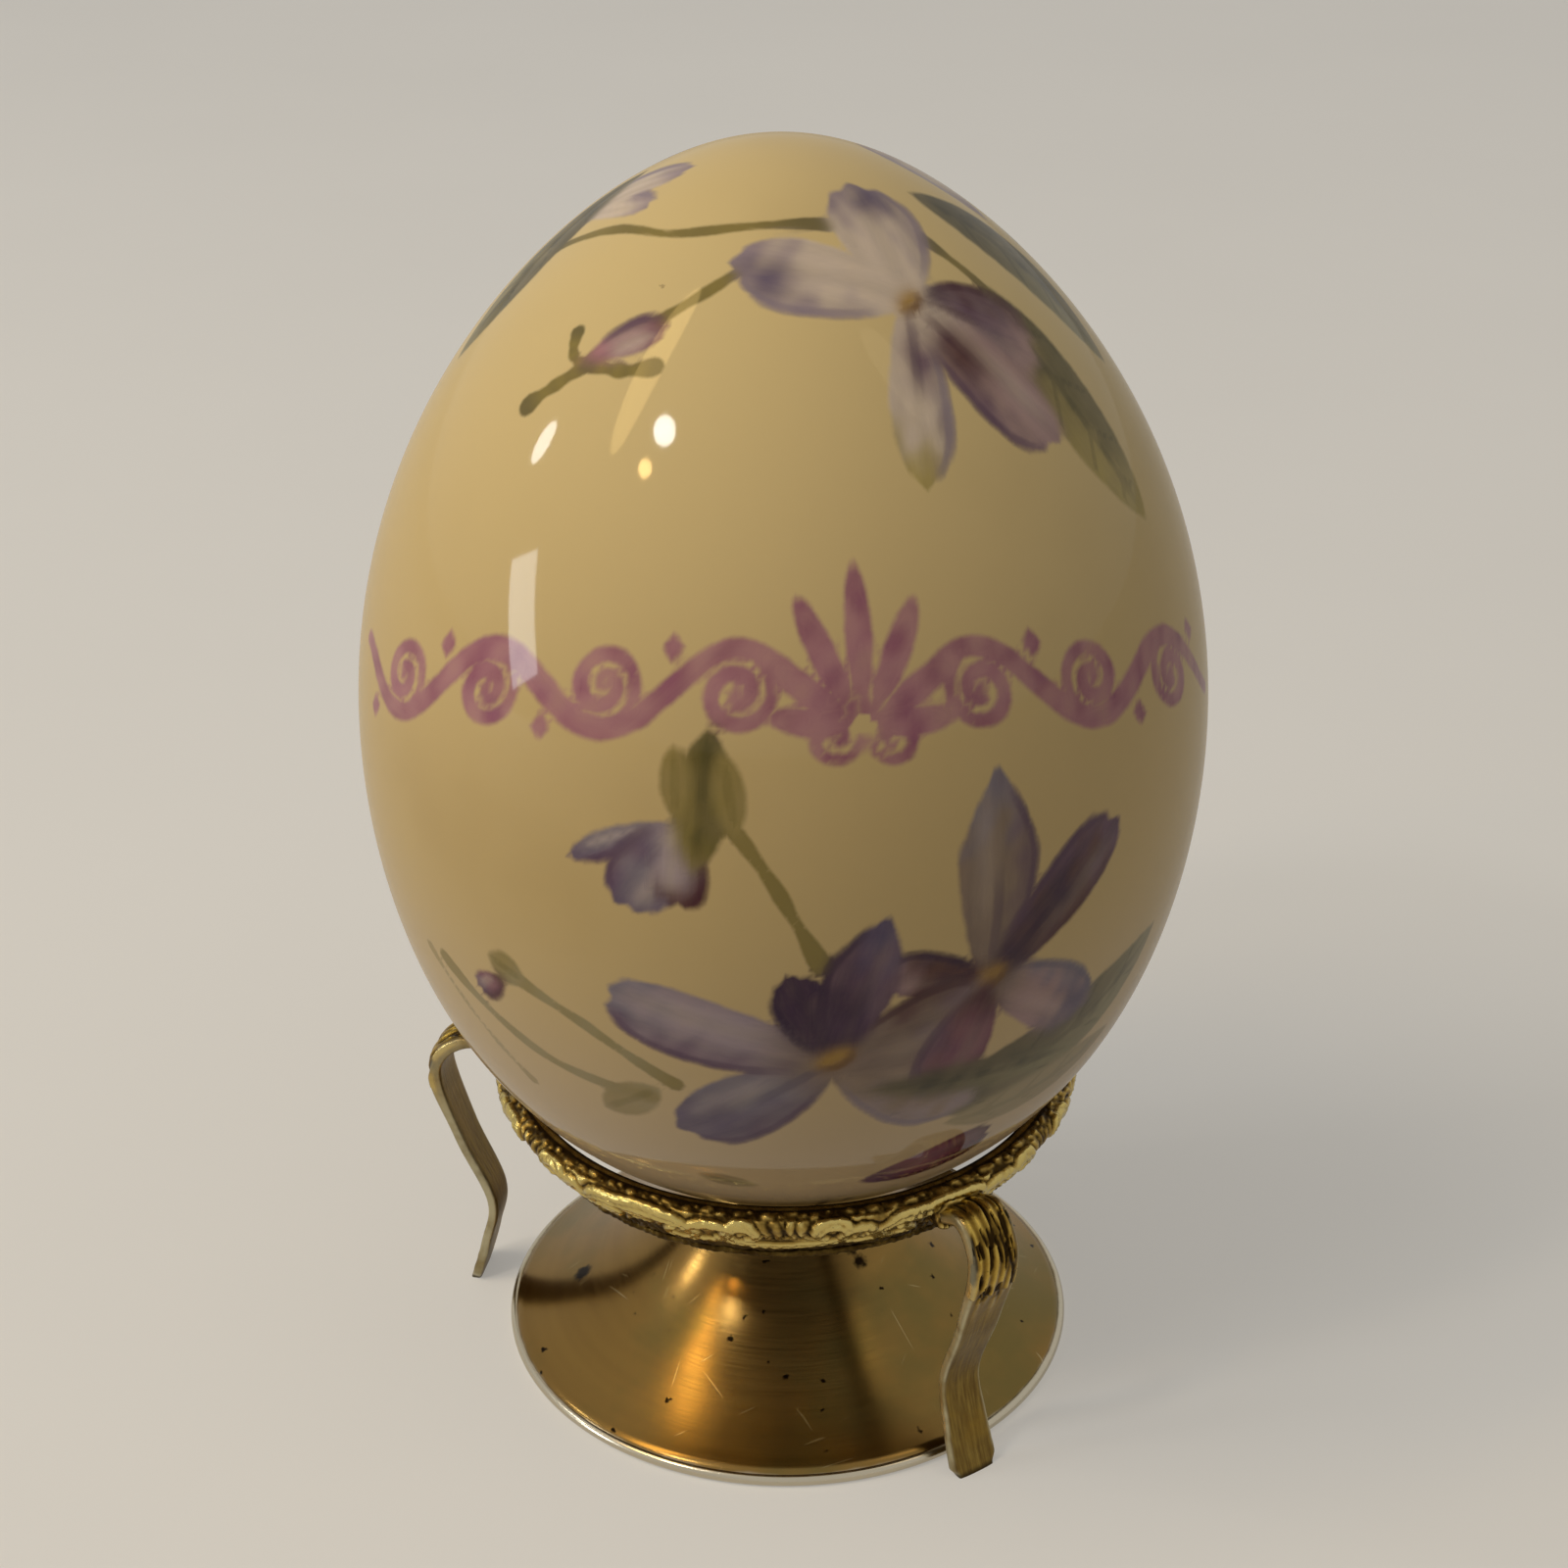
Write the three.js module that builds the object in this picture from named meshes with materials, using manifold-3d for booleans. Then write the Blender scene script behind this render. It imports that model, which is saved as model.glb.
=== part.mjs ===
// A hollow porcelain egg that sits in a gilt ring on three scrolled legs.
// A spun brass pedestal stands inside the legs, with its cup close under the egg's foot.
// Millimetres, +Z up. The origin is the middle of the base, on the table.
import * as THREE from 'three';
import { mergeVertices } from 'three/addons/utils/BufferGeometryUtils.js';
import Module from 'manifold-3d';

const wasm = await Module();
wasm.setup();

// Clearances
const SEAT_GAP = 0.3;

// Egg
const EGG_HEIGHT = 104.4;
const EGG_WIDTH = 80.7;
const EGG_WALL = 3;
const VENT_DIAMETER = 3.4;
// How far the egg departs from an ellipsoid: the weights of 1, 2 and 3 powers of the height
const EGG_FULLNESS = [-0.06, -0.01, -0.103];

// Collar, the ring that the egg sits in
const COLLAR_TOP = 32.1;
const COLLAR_HEIGHT = 7.1;
const SEAT_RADIUS = 26.6;
const LIP_WIDTH = 1;
const LIP_THICKNESS = 1.1;
const LIP_EDGE = 0.35;
const BAND_THICKNESS = 1.5;
const BAND_SWELL = 1.4;
const BAND_TAPER = 3.9;
const HEM_HEIGHT = 0.8;
const HEM_DEPTH = 0.35;
// Where the band's outer face heads from the hem, and from the lip, as [outwards, upwards]
const HEM_HEADING = [3.1, 4.1];
const LIP_HEADING = [3, -0.5];

// Raised ornament on the collar: lying scrolls with a leaf fan between each pair
const SCROLL_COUNT = 12;
const SCROLL_LENGTH = 12;
const SCROLL_RISE = 0.8;
const VOLUTE_RADIUS = 2.3;
const VOLUTE_EYE = 0.6;
const VOLUTE_TURNS = 1.15;
const RIDGE_WIDTH = 1.3;
const RIDGE_RELIEF = 0.5;
const RIDGE_ROOT = 0.35;
const RIDGE_SHOULDER = [0.7, 0.55];
const EYE_SIZE = 0.6;
const BACK_SIZE = 1.2;
const LEAF_COUNT = 3;
const LEAF_LENGTH = 5;
const LEAF_WIDTH = 1.6;
const LEAF_SPREAD = 34;
const LEAF_TIP_SIZE = 0.4;

// Legs: each is a flat strip bent to an S, with a ribbed leaf over its knee
const LEG_THICKNESS = 1.1;
const LEAF_THICKNESS = 0.6;
const LEG_WIDTH = 4.5;
const KNEE_WIDTH = 5.3;
const TOE_WIDTH = 5.3;
const KNEE_REACH = 7.1;
const KNEE_DROP = 4.3;
const CREST_RISE = 0.7;
const WAIST_HEIGHT = 10.4;
const WAIST_CLEARANCE = 1.9;
const TOE_CLEARANCE = 3.6;
const LEAF_END_HEIGHT = 19;
const LEAF_RIB_DEPTH = 0.35;
const LEAF_RIBS = 3;
const LEAF_END_FADE = 5;
const FACE_CROWN = 0.25;
// Shares of the way from the boss to the knee, and on to the waist and the toe, that shape the S
const CREST_SHARE = 0.42;
const SHOULDER_SHARE = [0.86, 0.34];
const CALF_SHARE = [0.42, 0.5];
const ANKLE_SHARE = [0.36, 0.5];
const BOSS_WIDTH = 5.4;
const BOSS_HEIGHT = 3.3;
const BOSS_REACH = 0.9;
const BOSS_DROP = 0.7;
// Turn of each leg about the ring, in degrees, and how far hands have bent its knee, waist and toe out
const LEGS = [
  { name: 'leg_left', turn: 169, bends: [0.6, 0.3, 0.9] },
  { name: 'leg_front', turn: -55.5, bends: [-2, -1.7, -0.7] },
  { name: 'leg_back', turn: 56.5, bends: [0, 0, 0] },
];

// Pedestal: a spun trumpet foot with a cup screwed to its neck
const FOOT_RADIUS = 29.5;
const FOOT_SHEET = 0.9;
const NECK_RADIUS = 8;
const RIM_HEIGHT = 1.25;
const RIM_WIDTH = 1.3;
const RIM_ROUND = 0.4;
const FOOT_FLARE_RISE = 3.6;
const FOOT_FLARE_RUN = 9;
const NECK_FLARE_RISE = 5.8;
const NECK_FLARE_RUN = 2.2;
const NECK_ROUND = 0.6;
const CUP_RADIUS = 12.3;
const CUP_SHEET = 0.8;
const WELL_CLEARANCE = 1.8;
const WELL_STEP = 0.4;

// Screw that holds the cup to the foot
const SCREW_DIAMETER = 3;
const SCREW_TAIL = 1;
const HEAD_DIAMETER = 6;
const HEAD_HEIGHT = 1.1;
const HEAD_CROWN = 0.35;
const SLOT_WIDTH = 0.8;
const SLOT_DEPTH = 0.5;
const WASHER_DIAMETER = 7.2;
const WASHER_THICKNESS = 0.6;
const NUT_ACROSS_FLATS = 5.5;
const NUT_HEIGHT = 2.4;

// Fineness of the curved faces
const EGG_SEGMENTS = 48;
const EGG_OUTER_STEPS = 20;
const EGG_INNER_STEPS = 8;
const COLLAR_SEGMENTS = 48;
const WALL_STEPS = 4;
const FOOT_SEGMENTS = 48;
const FOOT_STEPS = 8;
const CUP_SEGMENTS = 32;
const CUP_STEPS = 4;
const SMALL_SEGMENTS = 20;
const VOLUTE_STEPS = 5;
const LEAF_STEPS = 3;
const LEG_STEPS = 20;

const radians = THREE.MathUtils.degToRad;
const mix = THREE.MathUtils.lerp;

// Colours and finishes
const porcelain = { color: 0xd9c39a, roughness: 0.12, metalness: 0 };
const gilt = { color: 0xc79a2e, roughness: 0.3, metalness: 1 };
const legGold = { color: 0xa98a4c, roughness: 0.45, metalness: 1 };
const pedestalBrass = { color: 0x9a7338, roughness: 0.32, metalness: 1 };
const steel = { color: 0x8f8b83, roughness: 0.4, metalness: 1 };

// Mesh helpers

// The same surface with shared corners, so that it counts as one closed body
function weld(geometry) {
  const bare = geometry.clone();
  bare.deleteAttribute('normal');
  bare.deleteAttribute('uv');
  const merged = mergeVertices(bare, 1e-4);
  const corners = merged.getIndex().array;
  const kept = [];
  for (let i = 0; i < corners.length; i += 3) {
    const [a, b, c] = [corners[i], corners[i + 1], corners[i + 2]];
    if (a !== b && b !== c && c !== a) kept.push(a, b, c);
  }
  merged.setIndex(kept);
  return merged;
}

function toSolid(geometry) {
  const welded = weld(geometry);
  return new wasm.Manifold(new wasm.Mesh({
    numProp: 3,
    vertProperties: new Float32Array(welded.getAttribute('position').array),
    triVerts: new Uint32Array(welded.getIndex().array),
  }));
}

function toGeometry(solid) {
  const result = solid.getMesh();
  const geometry = new THREE.BufferGeometry();
  geometry.setAttribute('position', new THREE.BufferAttribute(result.vertProperties, 3));
  geometry.setIndex(new THREE.BufferAttribute(result.triVerts, 1));
  return geometry;
}

// Turns a profile of [radius, height] points about the Z axis
function revolve(profile, segments) {
  const points = profile.map(([radius, height]) => new THREE.Vector2(radius, height));
  return weld(new THREE.LatheGeometry(points, segments).rotateX(Math.PI / 2));
}

function revolveLoop(profile, segments) {
  return revolve([...profile, profile[0]], segments);
}

// Skins a row of rings with equal point counts, and closes both ends with fans
function loft(rings) {
  const count = rings[0].length;
  const positions = rings.flat().flatMap((point) => [point.x, point.y, point.z]);
  const faces = [];
  for (let ring = 0; ring < rings.length - 1; ring += 1) {
    for (let i = 0; i < count; i += 1) {
      const next = (i + 1) % count;
      const [a, b] = [ring * count + i, ring * count + next];
      faces.push(a, b, b + count, a, b + count, a + count);
    }
  }
  const last = (rings.length - 1) * count;
  for (let i = 1; i < count - 1; i += 1) {
    faces.push(0, i + 1, i, last, last + i, last + i + 1);
  }
  const geometry = new THREE.BufferGeometry();
  geometry.setAttribute('position', new THREE.Float32BufferAttribute(positions, 3));
  geometry.setIndex(faces);
  return geometry;
}

function part(name, geometry, finish) {
  const shaded = geometry.getIndex() ? geometry : weld(geometry);
  shaded.computeVertexNormals();
  const mesh = new THREE.Mesh(shaded, new THREE.MeshStandardMaterial(finish));
  mesh.name = name;
  return mesh;
}

// Egg

function eggBulge(angle) {
  const height = Math.cos(angle);
  const [first, second, third] = EGG_FULLNESS;
  return Math.sin(angle) * (1 + first * height + second * height ** 2 + third * height ** 3);
}

const FINE_STEPS = 400;
const WIDEST_BULGE = Math.max(
  ...Array.from({ length: FINE_STEPS }, (_, i) => eggBulge((Math.PI * i) / FINE_STEPS)),
);

// A point on the egg's skin about its own middle, from the top at 0 to the foot at PI,
// moved outwards by the given distance
function eggPoint(angle, outwards = 0) {
  const step = 1e-4;
  const place = (at) => [(EGG_WIDTH / 2) * (eggBulge(at) / WIDEST_BULGE), (EGG_HEIGHT / 2) * Math.cos(at)];
  const [radius, height] = place(angle);
  const [ahead, behind] = [place(angle + step), place(angle - step)];
  const along = new THREE.Vector2(ahead[0] - behind[0], ahead[1] - behind[1]).normalize();
  return [radius - along.y * outwards, height + along.x * outwards];
}

// The angle on the lower half at which the skin, moved outwards, has the given radius
function eggAngleAtRadius(radius, outwards = 0) {
  let [low, high] = [Math.PI / 2, Math.PI];
  for (let i = 0; i < 50; i += 1) {
    const middle = (low + high) / 2;
    if (eggPoint(middle, outwards)[0] > radius) low = middle;
    else high = middle;
  }
  return (low + high) / 2;
}

// The egg sinks into the ring until its skin is one seat gap from the ring's inner edge
const SEAT_ANGLE = eggAngleAtRadius(SEAT_RADIUS, SEAT_GAP);
const EGG_MIDDLE = COLLAR_TOP - LIP_EDGE / 2 - eggPoint(SEAT_ANGLE, SEAT_GAP)[1];
const EGG_FOOT = EGG_MIDDLE - EGG_HEIGHT / 2;

function eggShell() {
  const ventRadius = VENT_DIAMETER / 2;
  const outerEnd = eggAngleAtRadius(ventRadius);
  const innerEnd = eggAngleAtRadius(ventRadius, -EGG_WALL);
  const profile = [];
  for (let i = 0; i <= EGG_OUTER_STEPS; i += 1) {
    profile.push(eggPoint((outerEnd * i) / EGG_OUTER_STEPS));
  }
  for (let i = EGG_INNER_STEPS; i >= 0; i -= 1) {
    profile.push(eggPoint((innerEnd * i) / EGG_INNER_STEPS, -EGG_WALL));
  }
  profile[0][0] = 0;
  profile[profile.length - 1][0] = 0;
  return revolve(profile.reverse(), EGG_SEGMENTS).translate(0, 0, EGG_MIDDLE);
}

// Collar

const LIP_RADIUS = SEAT_RADIUS + LIP_WIDTH;
const BAND_RADIUS = LIP_RADIUS + BAND_SWELL;
const COLLAR_BOTTOM = COLLAR_TOP - COLLAR_HEIGHT;
const WALL_TOP = new THREE.Vector2(LIP_RADIUS, COLLAR_TOP);
const WALL_BOTTOM = new THREE.Vector2(BAND_RADIUS - BAND_TAPER, COLLAR_BOTTOM + HEM_HEIGHT);
// The outer face, which leans out from the hem and rounds over to the lip
const WALL = new THREE.CubicBezierCurve(
  WALL_BOTTOM,
  WALL_BOTTOM.clone().add(new THREE.Vector2(...HEM_HEADING)),
  WALL_TOP.clone().add(new THREE.Vector2(...LIP_HEADING)),
  WALL_TOP,
);
const WALL_LENGTH = WALL.getLength();
const WALL_MIDDLE_RADIUS = (BAND_RADIUS + WALL_BOTTOM.x) / 2;

function collarBand() {
  const hemRadius = WALL_BOTTOM.x + HEM_DEPTH;
  const profile = [
    [hemRadius - BAND_THICKNESS - HEM_DEPTH, COLLAR_BOTTOM],
    [hemRadius - HEM_DEPTH, COLLAR_BOTTOM],
    [hemRadius, COLLAR_BOTTOM + HEM_HEIGHT / 3],
    [hemRadius, COLLAR_BOTTOM + (2 * HEM_HEIGHT) / 3],
    ...WALL.getSpacedPoints(WALL_STEPS).map(({ x, y }) => [x, y]),
    [SEAT_RADIUS + LIP_EDGE, COLLAR_TOP],
    [SEAT_RADIUS, COLLAR_TOP - LIP_EDGE / 2],
    [SEAT_RADIUS, COLLAR_TOP - LIP_THICKNESS],
  ];
  return revolveLoop(profile, COLLAR_SEGMENTS);
}

// A point on the collar's face: along it, up from its middle line, and out of it
function wallPoint(along, up, out) {
  const share = THREE.MathUtils.clamp(0.5 + up / WALL_LENGTH, 0, 1);
  const foot = WALL.getPointAt(share);
  const run = WALL.getTangentAt(share);
  const [radius, height] = [foot.x + out * run.y, foot.y - out * run.x];
  const turn = along / WALL_MIDDLE_RADIUS;
  return new THREE.Vector3(radius * Math.cos(turn), radius * Math.sin(turn), height);
}

// A raised ridge along a path of [along, up, size] points on the wall
function wallRidge(path, width, relief) {
  const rings = path.map(([along, up, size], i) => {
    const before = path[Math.max(i - 1, 0)];
    const after = path[Math.min(i + 1, path.length - 1)];
    const run = new THREE.Vector2(after[0] - before[0], after[1] - before[1]).normalize();
    const half = (width / 2) * size;
    const [shoulder, rise] = [RIDGE_SHOULDER[0] * half, RIDGE_SHOULDER[1] * relief * size];
    const section = [[-half, -RIDGE_ROOT], [half, -RIDGE_ROOT], [shoulder, rise], [0, relief * size],
      [-shoulder, rise]];
    return section.map(([side, out]) => wallPoint(along - run.y * side, up + run.x * side, out));
  });
  return loft(rings);
}

// One lying scroll about [0, 0]: an arched back whose two ends curl in under it
function scrollPath(flip) {
  const centre = SCROLL_LENGTH / 2 - VOLUTE_RADIUS;
  const curl = [];
  for (let i = 0; i <= VOLUTE_STEPS; i += 1) {
    const share = i / VOLUTE_STEPS;
    const turn = Math.PI / 2 - VOLUTE_TURNS * 2 * Math.PI * (1 - share);
    const radius = mix(VOLUTE_EYE, VOLUTE_RADIUS, share);
    curl.push([radius * Math.cos(turn), radius * Math.sin(turn) - SCROLL_RISE, mix(EYE_SIZE, 1, share)]);
  }
  const left = curl.map(([x, y, size]) => [-centre - x, y, size]);
  const right = curl.map(([x, y, size]) => [centre + x, y, size]).reverse();
  const back = [0, VOLUTE_RADIUS - SCROLL_RISE / 2, BACK_SIZE];
  return [...left, back, ...right].map(([x, y, size]) => [x, flip * y, size]);
}

// One leaf lobe from a foot on the wall's middle line
function leafPath(start, lean, flip) {
  const path = [];
  for (let i = 0; i <= LEAF_STEPS; i += 1) {
    const share = i / LEAF_STEPS;
    const reach = LEAF_LENGTH * share;
    const size = LEAF_TIP_SIZE + Math.sin(Math.PI * share);
    const rise = reach * Math.cos(lean) - LEAF_LENGTH / 2;
    path.push([start + reach * Math.sin(lean), flip * rise, size]);
  }
  return path;
}

function collarRelief() {
  const pitch = (2 * Math.PI * WALL_MIDDLE_RADIUS) / SCROLL_COUNT;
  const ridges = [];
  for (let i = 0; i < SCROLL_COUNT; i += 1) {
    const flip = i % 2 === 0 ? 1 : -1;
    const place = ([along, up, size]) => [along + i * pitch, up, size];
    ridges.push(wallRidge(scrollPath(flip).map(place), RIDGE_WIDTH, RIDGE_RELIEF));
    for (let leaf = 0; leaf < LEAF_COUNT; leaf += 1) {
      const lean = radians(LEAF_SPREAD) * (leaf - (LEAF_COUNT - 1) / 2);
      ridges.push(wallRidge(leafPath(pitch / 2, lean, flip).map(place), LEAF_WIDTH, RIDGE_RELIEF));
    }
  }
  return ridges;
}

// Each leg is brazed to a flat boss on the collar
const BOSS_FACE = BAND_RADIUS + BOSS_REACH;
const BOSS_TOP = COLLAR_TOP - BOSS_DROP;
const BOSS_MIDDLE = BOSS_TOP - BOSS_HEIGHT / 2;

function legBoss(turn) {
  const depth = BOSS_FACE - WALL_BOTTOM.x;
  const block = new THREE.BoxGeometry(depth, BOSS_WIDTH, BOSS_HEIGHT);
  return block.translate(BOSS_FACE - depth / 2, 0, BOSS_MIDDLE).rotateZ(radians(turn));
}

function collar() {
  let solid = toSolid(collarBand());
  for (const ridge of collarRelief()) solid = solid.add(toSolid(ridge));
  for (const leg of LEGS) solid = solid.add(toSolid(legBoss(leg.turn)));
  // What the ornament and the bosses put inside the bore is cut away again
  const bore = revolve([
    [0, COLLAR_BOTTOM - 1],
    [WALL_BOTTOM.x - BAND_THICKNESS, COLLAR_BOTTOM - 1],
    [WALL_BOTTOM.x - BAND_THICKNESS, COLLAR_BOTTOM],
    [SEAT_RADIUS, COLLAR_TOP - LIP_THICKNESS],
    [SEAT_RADIUS, COLLAR_TOP - LIP_EDGE / 2],
    [SEAT_RADIUS, COLLAR_TOP + 1],
    [0, COLLAR_TOP + 1],
  ], COLLAR_SEGMENTS);
  return toGeometry(solid.subtract(toSolid(bore)));
}

// Legs

// The middle line of a leg in its own plane, as [radius, height] from the boss to the table
function legLine([kneeBend, waistBend, toeBend]) {
  const root = [BOSS_FACE + SEAT_GAP, BOSS_MIDDLE];
  const kneeHeight = BOSS_MIDDLE - KNEE_DROP;
  const knee = [BAND_RADIUS + KNEE_REACH + kneeBend, kneeHeight];
  const waist = [FOOT_RADIUS + WAIST_CLEARANCE + waistBend, WAIST_HEIGHT];
  const toe = [FOOT_RADIUS + TOE_CLEARANCE + toeBend, 0];
  const between = (from, to, share) => [mix(from[0], to[0], share[0]), mix(from[1], to[1], share[1])];
  const crest = [mix(root[0], knee[0], CREST_SHARE), root[1] + CREST_RISE];
  const shoulder = between([root[0], crest[1]], knee, SHOULDER_SHARE);
  const calf = between(knee, waist, CALF_SHARE);
  const ankle = between(waist, toe, ANKLE_SHARE);
  const points = [root, crest, shoulder, knee, calf, waist, ankle, toe];
  return new THREE.SplineCurve(points.map(([radius, height]) => new THREE.Vector2(radius, height)));
}

function legWidth(height) {
  const kneeHeight = BOSS_MIDDLE - KNEE_DROP;
  if (height > kneeHeight) return KNEE_WIDTH;
  if (height > WAIST_HEIGHT) {
    const share = THREE.MathUtils.smoothstep(height, WAIST_HEIGHT, kneeHeight);
    return mix(LEG_WIDTH, KNEE_WIDTH, share);
  }
  return mix(TOE_WIDTH, LEG_WIDTH, THREE.MathUtils.smoothstep(height, 0, WAIST_HEIGHT));
}

// One cross-section: a flat back, and a face that is ribbed where the leaf covers it
function legSection(height) {
  const leaf = THREE.MathUtils.smoothstep(height, LEAF_END_HEIGHT, LEAF_END_HEIGHT + LEAF_END_FADE);
  const half = legWidth(height) / 2;
  const face = LEG_THICKNESS / 2 + LEAF_THICKNESS * leaf;
  const section = [[-half, -LEG_THICKNESS / 2], [half, -LEG_THICKNESS / 2]];
  const steps = 2 * LEAF_RIBS;
  for (let i = 0; i <= steps; i += 1) {
    const across = 1 - (2 * i) / steps;
    const groove = i % 2 === 0 ? LEAF_RIB_DEPTH * leaf : 0;
    section.push([half * across, face - FACE_CROWN * across ** 2 - groove]);
  }
  return section;
}

function leg({ turn, bends }) {
  const line = legLine(bends);
  const rings = [];
  for (let i = 0; i <= LEG_STEPS; i += 1) {
    const share = i / LEG_STEPS;
    const middle = line.getPointAt(share);
    const run = line.getTangentAt(share);
    const ring = legSection(middle.y).map(([side, out]) => (
      new THREE.Vector3(middle.x - run.y * out, side, middle.y + run.x * out)));
    // The last ring is cut flat by the table, and the first by the boss
    if (i === LEG_STEPS) ring.forEach((point) => slide(point, run, -point.z / run.y));
    if (i === 0) ring.forEach((point) => slide(point, run, (middle.x - point.x) / run.x));
    rings.push(ring);
  }
  return loft(rings).rotateZ(radians(turn));
}

function slide(point, run, distance) {
  point.x += run.x * distance;
  point.z += run.y * distance;
}

// Pedestal

const SCREW_RADIUS = SCREW_DIAMETER / 2;
const HOLE_RADIUS = SCREW_RADIUS + SEAT_GAP;
const HEAD_TOP = EGG_FOOT - SEAT_GAP;
const WELL_FLOOR = HEAD_TOP - HEAD_HEIGHT - SEAT_GAP;
const CUP_BOTTOM = WELL_FLOOR - CUP_SHEET;
const NECK_TOP = CUP_BOTTOM - SEAT_GAP;
const FLANGE_UNDERSIDE = NECK_TOP - FOOT_SHEET;
const WASHER_TOP = FLANGE_UNDERSIDE - SEAT_GAP;
const NUT_TOP = WASHER_TOP - WASHER_THICKNESS - SEAT_GAP;
const NUT_BOTTOM = NUT_TOP - NUT_HEIGHT;

function trumpetFoot() {
  const rimStart = new THREE.Vector2(FOOT_RADIUS - RIM_ROUND, RIM_HEIGHT);
  const neckEnd = new THREE.Vector2(NECK_RADIUS, NECK_TOP - NECK_ROUND);
  const sweep = new THREE.CubicBezierCurve(
    rimStart,
    new THREE.Vector2(rimStart.x - FOOT_FLARE_RUN, rimStart.y + FOOT_FLARE_RISE),
    new THREE.Vector2(neckEnd.x + NECK_FLARE_RUN, neckEnd.y - NECK_FLARE_RISE),
    neckEnd,
  );
  const [outside, inside] = [[], []];
  for (let i = 0; i <= FOOT_STEPS; i += 1) {
    const point = sweep.getPointAt(i / FOOT_STEPS);
    const run = sweep.getTangentAt(i / FOOT_STEPS);
    outside.push([point.x, point.y]);
    inside.push([point.x - run.y * FOOT_SHEET, point.y + run.x * FOOT_SHEET]);
  }
  const profile = [
    [FOOT_RADIUS - RIM_WIDTH, 0],
    [FOOT_RADIUS - RIM_ROUND, 0],
    [FOOT_RADIUS, RIM_ROUND],
    [FOOT_RADIUS, RIM_HEIGHT - RIM_ROUND],
    ...outside,
    [NECK_RADIUS - NECK_ROUND, NECK_TOP],
    [HOLE_RADIUS, NECK_TOP],
    [HOLE_RADIUS, FLANGE_UNDERSIDE],
    [NECK_RADIUS - FOOT_SHEET - NECK_ROUND / 2, FLANGE_UNDERSIDE],
    ...inside.reverse().slice(0, -1),
    [FOOT_RADIUS - RIM_WIDTH, RIM_HEIGHT - FOOT_SHEET],
  ];
  return revolveLoop(profile, FOOT_SEGMENTS);
}

// The cup's dish follows the egg's foot, one seat gap below it, round a well for the screw's head
function cup() {
  const wellRadius = HEAD_DIAMETER / 2 + WELL_CLEARANCE;
  const [rimAngle, wellAngle] = [CUP_RADIUS, wellRadius].map((radius) => eggAngleAtRadius(radius, SEAT_GAP));
  const [top, underside] = [[], []];
  for (let i = 0; i <= CUP_STEPS; i += 1) {
    const angle = mix(rimAngle, wellAngle, i / CUP_STEPS);
    const above = eggPoint(angle, SEAT_GAP);
    const below = eggPoint(angle, SEAT_GAP + CUP_SHEET);
    top.push([above[0], above[1] + EGG_MIDDLE]);
    underside.push([below[0], below[1] + EGG_MIDDLE]);
  }
  const profile = [
    [HOLE_RADIUS, CUP_BOTTOM],
    [wellRadius + WELL_STEP, CUP_BOTTOM],
    ...underside.reverse().slice(1),
    ...top,
    [wellRadius - WELL_STEP, WELL_FLOOR],
    [HOLE_RADIUS, WELL_FLOOR],
  ];
  return revolveLoop(profile, CUP_SEGMENTS);
}

function cupScrew() {
  const headRadius = HEAD_DIAMETER / 2;
  const headBottom = HEAD_TOP - HEAD_HEIGHT;
  const body = revolve([
    [0, NUT_BOTTOM - SCREW_TAIL],
    [SCREW_RADIUS, NUT_BOTTOM - SCREW_TAIL],
    [SCREW_RADIUS, headBottom],
    [headRadius, headBottom],
    [headRadius, HEAD_TOP - HEAD_CROWN],
    [headRadius / 2, HEAD_TOP],
    [0, HEAD_TOP],
  ], SMALL_SEGMENTS);
  const slot = new THREE.BoxGeometry(HEAD_DIAMETER + 2, SLOT_WIDTH, 2 * SLOT_DEPTH).translate(0, 0, HEAD_TOP);
  return toGeometry(toSolid(body).subtract(toSolid(slot)));
}

function washer() {
  const radius = WASHER_DIAMETER / 2;
  const bottom = WASHER_TOP - WASHER_THICKNESS;
  return revolveLoop([
    [HOLE_RADIUS, bottom],
    [radius, bottom],
    [radius, WASHER_TOP],
    [HOLE_RADIUS, WASHER_TOP],
  ], SMALL_SEGMENTS);
}

function hexNut() {
  const outline = new THREE.Shape();
  const corner = NUT_ACROSS_FLATS / 2 / Math.cos(Math.PI / 6);
  for (let i = 0; i < 6; i += 1) {
    const turn = (i * Math.PI) / 3;
    const place = [corner * Math.cos(turn), corner * Math.sin(turn)];
    if (i === 0) outline.moveTo(...place);
    else outline.lineTo(...place);
  }
  outline.closePath();
  outline.holes.push(new THREE.Path().absarc(0, 0, HOLE_RADIUS, 0, 2 * Math.PI, true));
  const prism = new THREE.ExtrudeGeometry(outline, {
    depth: NUT_HEIGHT, bevelEnabled: false, curveSegments: SMALL_SEGMENTS / 2,
  });
  return weld(prism.translate(0, 0, NUT_BOTTOM));
}

const pedestal = new THREE.Group();
pedestal.add(part('trumpet_foot', trumpetFoot(), pedestalBrass));
pedestal.add(part('egg_cup', cup(), pedestalBrass));
pedestal.add(part('cup_screw', cupScrew(), steel));
pedestal.add(part('screw_washer', washer(), steel));
pedestal.add(part('screw_nut', hexNut(), steel));

const ringStand = new THREE.Group();
ringStand.add(part('ring_collar', collar(), gilt));
for (const each of LEGS) ringStand.add(part(each.name, leg(each), legGold));

const eggOnStand = new THREE.Group();
eggOnStand.add(pedestal);
eggOnStand.add(ringStand);
eggOnStand.add(part('egg_shell', eggShell(), porcelain));

export default eggOnStand;
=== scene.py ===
"""Looks for a painted porcelain egg in a gilt ring stand, over a spun brass pedestal.

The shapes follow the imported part's own frame: metres, +Z up, origin in the middle of the base.
Sizes in the classes below are millimetres, and MM turns them into the frame's metres.
"""
from __future__ import annotations

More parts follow.
